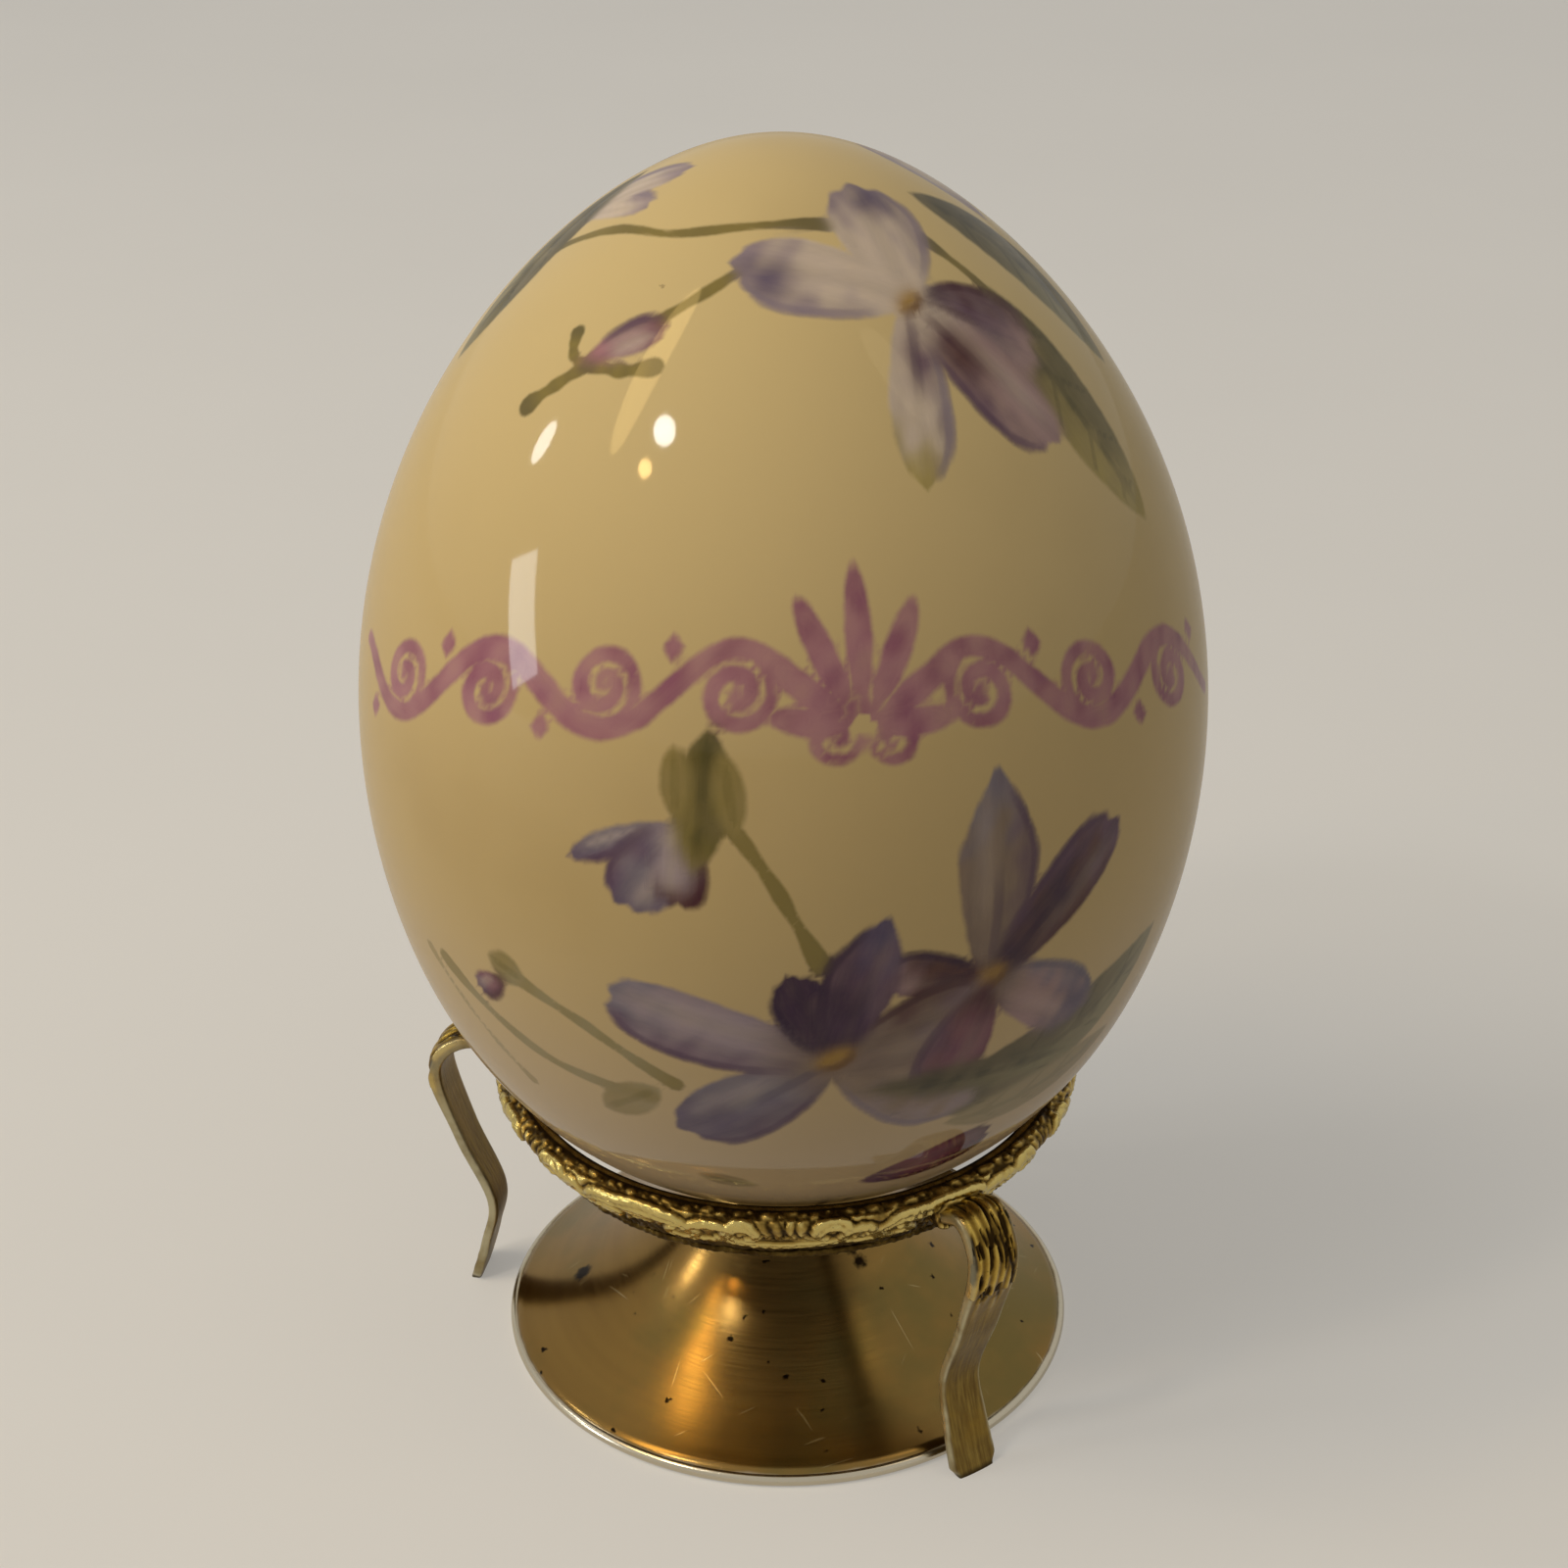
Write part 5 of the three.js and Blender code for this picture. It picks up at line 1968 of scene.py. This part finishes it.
    def _pebbles(self, along: Array, up: Array, points: Array) -> Array:
        """Gives the height of the row of uneven pebbles under the lip.

        Args:
            along: Distance round the face.
            up: Distance up from the row's middle.
            points: The same points in space.

        Returns:
            The height for each point.
        """
        bent = along + 0.6 * SoftNoise(26, 4)(points)
        pitch = FULL_TURN * self.middle_radius / self.pebble_count
        order = np.floor(bent / pitch + 0.5)
        size = 0.36 + 0.24 * np.sin(order * 2.4) * np.cos(order * 0.7)
        tilt = 0.5 * np.sin(order * 1.3)
        across = bent - order * pitch
        gap = np.hypot((across + tilt * up) / 1.25, up + 0.25 * np.sin(order * 1.9) - 0.3 * tilt * across)
        return 0.6 * self.relief * np.sqrt(held(1 - (gap / size) ** 2))

    def _scroll(self, across: Array, rise: Array) -> tuple[Array, Array]:
        """Shapes a lying scroll.

        Args:
            across: Distance round the face from its middle.
            rise: Distance up from its middle.

        Returns:
            The height for each point, and the gap to the ridge's edge.
        """
        steps = 16
        centre = self.scroll_length / 2 - self.volute_radius
        share = np.linspace(0, 1, steps)
        turn = pi / 2 - self.volute_turns * FULL_TURN * (1 - share)
        radius = self.volute_eye + (self.volute_radius - self.volute_eye) * share
        curl = columns(radius * np.cos(turn), radius * np.sin(turn) - self.scroll_rise)
        left = curl * (-1, 1) + (-centre, 0)
        right = (curl + (centre, 0))[::-1]
        back = [[0, self.volute_radius - self.scroll_rise / 2]]
        gap, place = path_distance(across, rise, np.vstack([left, back, right]))
        half = self.ridge_width / 2 * (1.2 - 0.6 * abs(2 * place - 1) ** 2)
        dome = np.sqrt(held(1 - (gap / half) ** 2))
        crease = 0.25 * np.exp(-((gap / 0.15) ** 2)) * ease(1, 0.6, abs(2 * place - 1))
        return 1.2 * self.relief * dome - crease * (gap < half), gap - half

    def _curl(self, across: Array, rise: Array) -> tuple[Array, Array]:
        """Shapes a small leaf curl between two scrolls.

        Args:
            across: Distance round the face from its middle.
            rise: Distance up from its middle.

        Returns:
            The height for each point, and the gap to the ridge's edge.
        """
        turn = np.linspace(0.15, 1.05, 14) * FULL_TURN
        radius = np.linspace(2.9, 0.7, 14)
        path = columns(radius * np.cos(turn), -0.3 + 0.85 * radius * np.sin(turn))
        gap, place = path_distance(across, rise, np.vstack([[[4.6, 3.3]], path]))
        half = 0.42 + 0.22 * np.sin(pi * place)
        return 1.1 * self.relief * np.sqrt(held(1 - (gap / half) ** 2)), gap - half

    def _boss(self, turn: float) -> Piece:
        """Builds the rounded, chased pad that a leg is brazed to.

        Args:
            turn: The leg's turn about the ring in degrees.

        Returns:
            The new object.
        """
        depth = self.boss_face - self.wall_bottom[0] - 0.6
        width, height = self.boss_size
        boss = block((depth, width, height), (self.boss_face - depth / 2, 0, self.boss_top - height / 2))
        bpy.ops.object.mode_set(mode="EDIT")
        bpy.ops.mesh.select_all(action="SELECT")
        bpy.ops.mesh.bevel(offset=0.8 * MM, segments=5)
        bpy.ops.mesh.subdivide(number_cuts=4)
        bpy.ops.mesh.normals_make_consistent(inside=False)
        bpy.ops.object.mode_set(mode="OBJECT")
        points = vertex_array(boss)
        rough = SoftNoise(int(abs(turn)), 1)(points)
        face = ease(self.boss_face - 1.5, self.boss_face - 0.2, points[:, 0])
        points[:, 0] -= face * (0.16 - 0.12 * rough)
        add_layer(boss, "relief", held(0.45 + 0.5 * rough))
        set_vertices(boss, turned(points, turn))
        return boss


@dataclass
class StripLeg:
    """A flat strip bent to an S, with a carved leaf over its knee."""

    node: str
    bends: tuple[float, float, float]
    seed: int
    thickness: float = 1.1
    leaf_thickness: float = 0.6
    waist_width: float = 4.5
    knee_width: float = 5.3
    toe_width: float = 5.3
    band_radius: float = 29.0
    foot_radius: float = 29.5
    root: Place = (30.2, 29.75)
    root_overlap: float = 0.7
    knee_reach: float = 7.1
    knee_drop: float = 4.3
    crest_rise: float = 0.7
    waist_height: float = 10.4
    waist_clearance: float = 1.9
    toe_clearance: float = 3.6
    leaf_end: float = 19.0
    leaf_fade: float = 5.0
    slits: int = 54
    run_length: float = 40.0
    path_steps: int = 900
    around: int = 72
    along: int = 230

    def build(self, material: Material) -> None:
        """Builds, carves and dresses the leg.

        Args:
            material: The legs' finish.
        """
        piece, round_share, run_share = grid_piece(f"{self.node}_strip", self.around, self.along)
        places, runs = smooth_line(self._bends(), self.path_steps)
        fine = np.linspace(0, 1, self.path_steps)
        middle, run = (read_path(run_share, fine, path) for path in (places, runs))
        across, outwards = self._section(round_share)
        corner = ease(0, 1.1, (1 - run_share) * 36)
        half = self._width(middle[:, 1]) / 2 - 0.55 * (1 - corner)
        side = across * half
        lift, relief, leaf = self._carving(across, middle[:, 1], run_share)
        front = held(outwards * 1.6)
        out = outwards * self.thickness / 2 + lift * front
        radius = middle[:, 0] - run[:, 1] * out
        height = middle[:, 1] + run[:, 0] * out
        at_toe = run_share > 1 - 1e-4
        radius[at_toe] -= run[at_toe, 0] * height[at_toe] / run[at_toe, 1]
        height[at_toe] = 0
        height = np.maximum(height, 0)
        set_vertices(piece, turned(columns(radius, side, height), LEG_TURNS[self.node]))
        # Relief tone for the gilding: high for painted highlight on crests, low for painted shade and patina
        # in hollows
        add_layer(piece, "relief", np.where(front > 0.3, relief, 0.45))
        add_layer(piece, "leaf_cover", leaf * np.where(outwards > -0.6, 1, 0.5))
        # How much of the pale edge tone each point takes, along both edges of the strip
        add_layer(piece, "pale_edge_share", ease(0.84, 0.97, abs(across)) * (1 - 0.5 * leaf))
        add_layer(piece, "strip_place", columns(side, run_share * self.run_length, front))
        mend_shell(piece, fill=True)
        finish_piece(piece, material, "ring_stand", "leg_gold", self.node, crease=70)

    def _bends(self) -> list[Place]:
        """Lists the places that the strip's middle line passes, from the boss to the table.

        Returns:
            The places as radius and height.
        """
        knee_bend, waist_bend, toe_bend = self.bends
        root = (self.root[0] - self.root_overlap, self.root[1])
        knee = (self.band_radius + self.knee_reach + knee_bend, self.root[1] - self.knee_drop)
        waist = (self.foot_radius + self.waist_clearance + waist_bend, self.waist_height)
        toe = (self.foot_radius + self.toe_clearance + toe_bend, 0)

        def between(start: Place, end: Place, shares: Place) -> Place:
            """Gives the place at one share of the way across and another of the way up."""
            return tuple(a + (b - a) * share for a, b, share in zip(start, end, shares))

        crest = (self.root[0] + (knee[0] - self.root[0]) * 0.42, self.root[1] + self.crest_rise)
        shoulder = between((self.root[0], crest[1]), knee, (0.86, 0.34))
        return [root, crest, shoulder, knee, between(knee, waist, (0.42, 0.5)), waist,
                between(waist, toe, (0.36, 0.5)), toe]

    def _section(self, share: Array) -> tuple[Array, Array]:
        """Gives the rounded strip's outline.

        Args:
            share: Share of the way round it.

        Returns:
            The places across and outwards, both from -1 to 1.
        """
        turn = np.linspace(0, FULL_TURN, 4000)
        power = 0.42
        across = np.sign(np.cos(turn)) * abs(np.cos(turn)) ** (power * 0.5)
        outwards = np.sign(np.sin(turn)) * abs(np.sin(turn)) ** power
        steps = np.hypot(np.diff(across) * self.knee_width / 2, np.diff(outwards) * self.thickness / 2)
        ways = travelled(steps)
        wanted = share * ways[-1]
        return np.interp(wanted, ways, across), np.interp(wanted, ways, outwards)

    def _width(self, height: Array) -> Array:
        """Gives the strip's width at a height.

        Args:
            height: Height above the table.

        Returns:
            The width at each height.
        """
        knee = self.root[1] - self.knee_drop
        swell, spread = self.knee_width - self.waist_width, self.waist_width - self.toe_width
        upper = self.waist_width + swell * ease(self.waist_height, knee, height)
        lower = self.toe_width + spread * ease(0, self.waist_height, height)
        return np.where(height > self.waist_height, upper, lower)

    def _carving(self, across: Array, height: Array, run_share: Array) -> tuple[Array, Array, Array]:
        """Gives the carving of the front face.

        Args:
            across: Place across the strip, from -1 to 1.
            height: Height of the middle line.
            run_share: Share of the way from the root to the toe.

        Returns:
            How far the face is lifted, its relief tone, and how much the leaf covers it.
        """
        over_root = run_share < 0.3
        body = np.where(over_root, 1, ease(self.leaf_end, self.leaf_end + 1.5 * self.leaf_fade, height))
        ragged = 1.5 * np.cos(across * 8 + self.seed) + 1.2 * across ** 2
        end = self.leaf_end + 0.55 * self.leaf_fade + ragged
        cover = np.where(over_root, 1, ease(-3.6, 3, height - end))
        slits = self._slits(across, run_share) * np.where(over_root, 1, ease(20, 26, height))
        flutes = np.cos(across * pi * 5.4 + 0.9 * np.sin(run_share * 23 + self.seed) + 9 * run_share)
        crown = -0.25 * across ** 2
        edge = 0.07 * ease(0.8, 0.95, abs(across))
        waves = (run_share * self.run_length - 38) * 3.6 + 1.6 * across ** 2
        arcs = np.sin(waves) * ease(0.8, 0.92, run_share)
        channel = -0.1 * np.exp(-((across / 0.55) ** 2)) * ease(0, 2, height)
        plain = channel + edge + 0.02 * arcs
        lift = body * self.leaf_thickness + crown * (0.4 + 0.6 * body)
        lift += cover * (0.07 * cover * flutes - 0.3 * slits - 0.04) + (1 - cover) * plain
        relief = cover * (0.62 + 0.24 * cover * flutes - 0.8 * slits) + (1 - cover) * 0.5
        return lift, held(relief), cover

    def _slits(self, across: Array, run_share: Array) -> Array:
        """Cuts pointed slits between the leaf's strands.

        Args:
            across: Place across the strip, from -1 to 1.
            run_share: Share of the way from the root to the toe.

        Returns:
            The depth for each point, from 0 to 1.
        """
        draw = np.random.default_rng(self.seed)
        depth = np.zeros(len(across))
        for _ in range(self.slits):
            place, start = draw.uniform(-0.95, 0.95), draw.uniform(0, 0.34)
            reach, width = draw.uniform(0.03, 0.085), draw.uniform(0.04, 0.085)
            along = (run_share - start) / reach
            inside = (along > 0) & (along < 1)
            taper = np.sqrt(np.clip(np.sin(pi * held(along)), 1e-6, 1))
            wave = place + 0.07 * np.sin(run_share * 30 + place * 9)
            groove = np.exp(-(((across - wave) / (width * taper)) ** 2)) * inside
            depth = np.maximum(depth, groove)
        return depth


@dataclass
class Pedestal:
    """The spun trumpet foot with its rolled rim, and the cup and screw at its neck."""

    foot_radius: float = 29.5
    sheet: float = 0.9
    neck_radius: float = 8.0
    rim_height: float = 1.25
    rim_width: float = 1.3
    rim_round: float = 0.4
    flare: Place = (9.0, 3.6)
    neck_flare: Place = (2.2, 5.8)
    neck_round: float = 0.6
    neck_top: float = field(init=False)
    hole_radius: float = 1.8
    cup_radius: float = 12.3
    cup_sheet: float = 0.8
    seat_gap: float = 0.3
    head_diameter: float = 6.0
    head_height: float = 1.1
    screw_radius: float = 1.5
    thread_pitch: float = 0.5
    thread_depth: float = 0.22
    slot: Place = (0.8, 0.5)
    segments: int = 256
    sweep_steps: int = 56

    def __post_init__(self) -> None:
        """Reads the neck's top from the frame."""
        self.neck_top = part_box("trumpet_foot")[1].z / MM

    def build(self, form: EggForm) -> None:
        """Builds and dresses the foot, the cup, the screw and the small fasteners.

        Args:
            form: The egg's outline, which the cup's dish follows.
        """
        brass = SpunBrass().material()
        steel = TurnedSteel().material()
        foot = spun("spun_foot", self._foot_profile(), self.segments)
        finish_piece(foot, brass, "pedestal", "pedestal_brass", "trumpet_foot", crease=50)
        cup = spun("dished_cup", self._cup_profile(form), 160)
        finish_piece(cup, brass, "pedestal", "pedestal_brass", "egg_cup", crease=50)
        screw = self._screw()
        finish_piece(screw, steel, "pedestal", "fastener_steel", "cup_screw", crease=35)
        for name in ("screw_washer", "screw_nut"):
            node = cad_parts[name]
            node.data.materials.clear()
            node.data.materials.append(steel)
            LOG.info("%s keeps its solid and gets turned steel", name)

    def _foot_profile(self) -> list[Place]:
        """Lists the foot's section: rolled rim, flared skin, neck, flange and inner skin.

        Returns:
            The corners as radius and height.
        """
        edge, rim, sheet = self.foot_radius, self.rim_height, self.sheet
        neck, top, soft = self.neck_radius, self.neck_top, self.neck_round
        start = np.array([edge - self.rim_round, rim])
        end = np.array([neck, top - soft])
        controls = [start, start + (-self.flare[0], self.flare[1]),
                    end + (self.neck_flare[0], -self.neck_flare[1]), end]
        outside = swept(controls, self.sweep_steps)
        run = directions(outside)
        inside = outside + sheet * columns(-run[:, 1], run[:, 0])
        half = rim / 2
        profile = [(edge - self.rim_width, 0), (edge - half, 0)]
        for step in range(1, 12):
            turn = -pi / 2 + pi * step / 12
            profile.append((edge - half + half * cos(turn), half + half * sin(turn)))
        profile.append((edge - half - 0.05, rim - 0.08))
        profile += [tuple(point) for point in outside if point[0] < edge - half - 0.25]
        for step in range(1, 6):
            turn = pi / 2 * step / 5
            profile.append((neck - soft * (1 - cos(turn)), top - soft * (1 - sin(turn))))
        flange = top - sheet
        profile += [(self.hole_radius, top), (self.hole_radius, flange), (neck - sheet - soft / 2, flange)]
        kept = [tuple(point) for point in inside[::-1] if point[1] < flange - 0.3
                and point[0] < edge - self.rim_width - 0.2]
        return [*profile, *kept, (edge - self.rim_width, rim - sheet)]

    def _cup_profile(self, form: EggForm) -> list[Place]:
        """Lists the cup's section: a dish one gap below the egg, round a well for the screw.

        Args:
            form: The egg's outline.

        Returns:
            The corners as radius and height.
        """
        well = self.head_diameter / 2 + 1.8
        floor = form.top - form.height - self.seat_gap - self.head_height - self.seat_gap
        bottom = floor - self.cup_sheet
        rim, start = (form.angle_at_radius(radius, self.seat_gap) for radius in (self.cup_radius, well))
        angles = np.linspace(rim, start, 18)
        top = list(zip(*form.outline(angles, self.seat_gap)))
        under = list(zip(*form.outline(angles[::-1], self.seat_gap + self.cup_sheet)))[2:]
        tip = ((top[0][0] + under[-1][0]) / 2 + 0.3, (top[0][1] + under[-1][1]) / 2)
        return [(self.hole_radius, bottom), (well + 0.4, bottom), *under, tip, *top, (well - 0.4, floor),
                (self.hole_radius, floor)]

    def _screw(self) -> Piece:
        """Builds the slotted screw with its thread.

        Returns:
            The new object.
        """
        low, high = (corner.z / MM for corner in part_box("cup_screw"))
        head = self.head_diameter / 2
        shoulder = high - self.head_height
        profile = [(0, low), (self.screw_radius - 0.35, low)]
        profile += [(self.screw_radius, height)
                    for height in np.arange(low + 0.3, shoulder - 1.5, self.thread_pitch / 6)]
        profile += [(self.screw_radius, shoulder), (head - 0.1, shoulder), (head, shoulder + 0.1),
                    (head, high - 0.42)]
        for step in range(1, 9):
            turn = step / 9 * pi / 2
            profile.append((head * cos(turn), high - 0.42 * (1 - sin(turn))))
        screw = spun("slotted_screw", [*profile, (0, high)], 48, closed=False)
        points = vertex_array(screw)
        radius = np.hypot(points[:, 0], points[:, 1])
        turn = np.arctan2(points[:, 1], points[:, 0]) / FULL_TURN
        phase = abs((points[:, 2] / self.thread_pitch - turn) % 1 - 0.5) * 2
        threaded = (abs(radius - self.screw_radius) < 0.02) & (points[:, 2] < shoulder - 1)
        cut = np.where(threaded, phase, 0)
        keep = 1 - self.thread_depth * cut / np.maximum(radius, 0.1)
        points[:, :2] *= keep[:, None]
        set_vertices(screw, points)
        cutter = block((self.head_diameter + 2, self.slot[0], 2 * self.slot[1]), (0, 0, high))
        pick(screw)
        modifier = screw.modifiers.new("slot", "BOOLEAN")
        modifier.operation = "DIFFERENCE"
        modifier.solver = "EXACT"
        modifier.object = cutter
        bpy.ops.object.modifier_apply(modifier=modifier.name)
        bpy.data.objects.remove(cutter)
        return screw


# Studio


@dataclass(frozen=True)
class Lamp:
    """One soft lamp, placed by the direction in which the object sees it."""

    name: str
    azimuth: float
    elevation: float
    distance: float
    size: Place
    power: float
    colour: Colour = (1.0, 1.0, 1.0)
    shape: str = "RECTANGLE"
    roll: float = 0.0
    target: tuple[float, float, float] = (0.0, 0.0, 70.0)
    mirrored: bool = True

    def build(self) -> None:
        """Adds the lamp."""
        turn, rise = radians(self.azimuth), radians(self.elevation)
        away = Vector((sin(turn) * cos(rise), -cos(turn) * cos(rise), sin(rise)))
        data = bpy.data.lights.new(self.name, "AREA")
        data.shape = self.shape
        data.size, data.size_y = self.size
        data.energy = self.power
        data.color = self.colour
        lamp = bpy.data.objects.new(self.name, data)
        bpy.context.scene.collection.objects.link(lamp)
        aim = away.to_track_quat("Z", "Y").to_matrix().to_4x4()
        spot = Vector(self.target) * MM + away * self.distance
        lamp.matrix_world = Matrix.Translation(spot) @ aim @ Matrix.Rotation(radians(self.roll), 4, "Z")
        lamp.visible_glossy = self.mirrored


@dataclass
class Studio:
    """Pale floor and surroundings, soft lamps and the camera."""

    camera_place: tuple[float, float, float] = (0.0, -251.81, 197.17)
    pitch_down: float = 28.09
    roll: float = -0.4
    lens: float = 67.5
    sensor: float = 36.0
    floor_size: float = 12.0
    surround: Colour = srgb("cfcdc8")
    sky_light: float = 0.25
    lamps: tuple[Lamp, ...] = (
        Lamp("key_softbox", -70, 48, 1.1, (0.9, 0.9), 4, (1, 0.97, 0.92), mirrored=False),
        Lamp("right_fill", 70, 25, 1.2, (0.5, 0.9), 1, (1, 0.95, 0.88), mirrored=False),
        Lamp("round_lamp", -53.5, 47.8, 0.8, (0.1, 0.07), 0.6, (1, 0.99, 0.95), "ELLIPSE",
             target=(-9.6, -25.6, 109.2)),
        Lamp("warm_lamp", -54.2, 40.7, 0.8, (0.06, 0.042), 0.24, (1, 0.62, 0.22), "ELLIPSE",
             target=(-11.2, -27.1, 106.5)),
        Lamp("window", -76, 8, 1, (0.15, 0.34), 1.4, (0.95, 0.98, 1), roll=34,
             target=(-21.5, -28, 94.5)),
        Lamp("foot_glint", -93, 33, 0.8, (0.06, 0.09), 0.26, (1, 0.98, 0.94), "ELLIPSE",
             target=(-9.6, -8.8, 11.6)),
        Lamp("foot_streak", -75, 57, 0.8, (0.1, 0.42), 0.72, (1, 0.68, 0.24), "ELLIPSE", roll=22,
             target=(-8, -14.5, 8.5)),
        Lamp("foot_sheen", 66, 58, 0.9, (0.12, 0.3), 0.1, (1, 0.78, 0.45), "ELLIPSE",
             target=(7, -14, 8.5)),
    )

    def build(self) -> None:
        """Builds the whole studio."""
        self._camera()
        self._floor()
        self._world()
        for lamp in self.lamps:
            lamp.build()
        bpy.context.scene.view_settings.view_transform = "Standard"

    def _camera(self) -> None:
        """Places the camera at the photographed angle."""
        data = bpy.data.cameras.new("camera")
        data.lens = self.lens
        data.sensor_width = self.sensor
        data.clip_start = 0.01
        camera = bpy.data.objects.new("camera", data)
        bpy.context.scene.collection.objects.link(camera)
        spot = Matrix.Translation(Vector(self.camera_place) * MM)
        tilt = Matrix.Rotation(radians(90 - self.pitch_down), 4, "X")
        camera.matrix_world = spot @ tilt @ Matrix.Rotation(radians(self.roll), 4, "Z")
        bpy.context.scene.camera = camera

    def _floor(self) -> None:
        """Lays the pale floor."""
        deselect()
        bpy.ops.mesh.primitive_plane_add(size=self.floor_size)
        floor = bpy.context.active_object
        floor.name = "floor"
        floor.data.materials.append(PaleFloor().material())

    def _world(self) -> None:
        """Lights the scene from all round, and shows a pale surround to camera and metal."""
        world = bpy.data.worlds.new("studio")
        bpy.context.scene.world = world
        world.use_nodes = True
        world.node_tree.nodes.clear()
        w = NodeWriter(world.node_tree)
        seen = w.add("Background", {"Color": self.surround, "Strength": 1})
        light = w.add("Background", {"Color": (1, 0.98, 0.95), "Strength": self.sky_light})
        mixed = w.add("MixShader", {0: w.seen(), 1: light.outputs[0], 2: seen.outputs[0]})
        w.add("OutputWorld", {"Surface": mixed.outputs[0]})


def main() -> None:
    """Builds the studio and the three sub-assemblies."""
    logging.basicConfig(level=logging.INFO, format="%(message)s")
    Studio().build()
    form = EggForm()
    Pedestal().build(form)
    ScrollCollar().build()
    strip_gold = WornStripGold().material()
    for node, bends, seed in LEGS:
        StripLeg(node, bends, seed).build(strip_gold)
    PaintedEgg(form).build()
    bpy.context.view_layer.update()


if __name__ == "__main__":
    main()
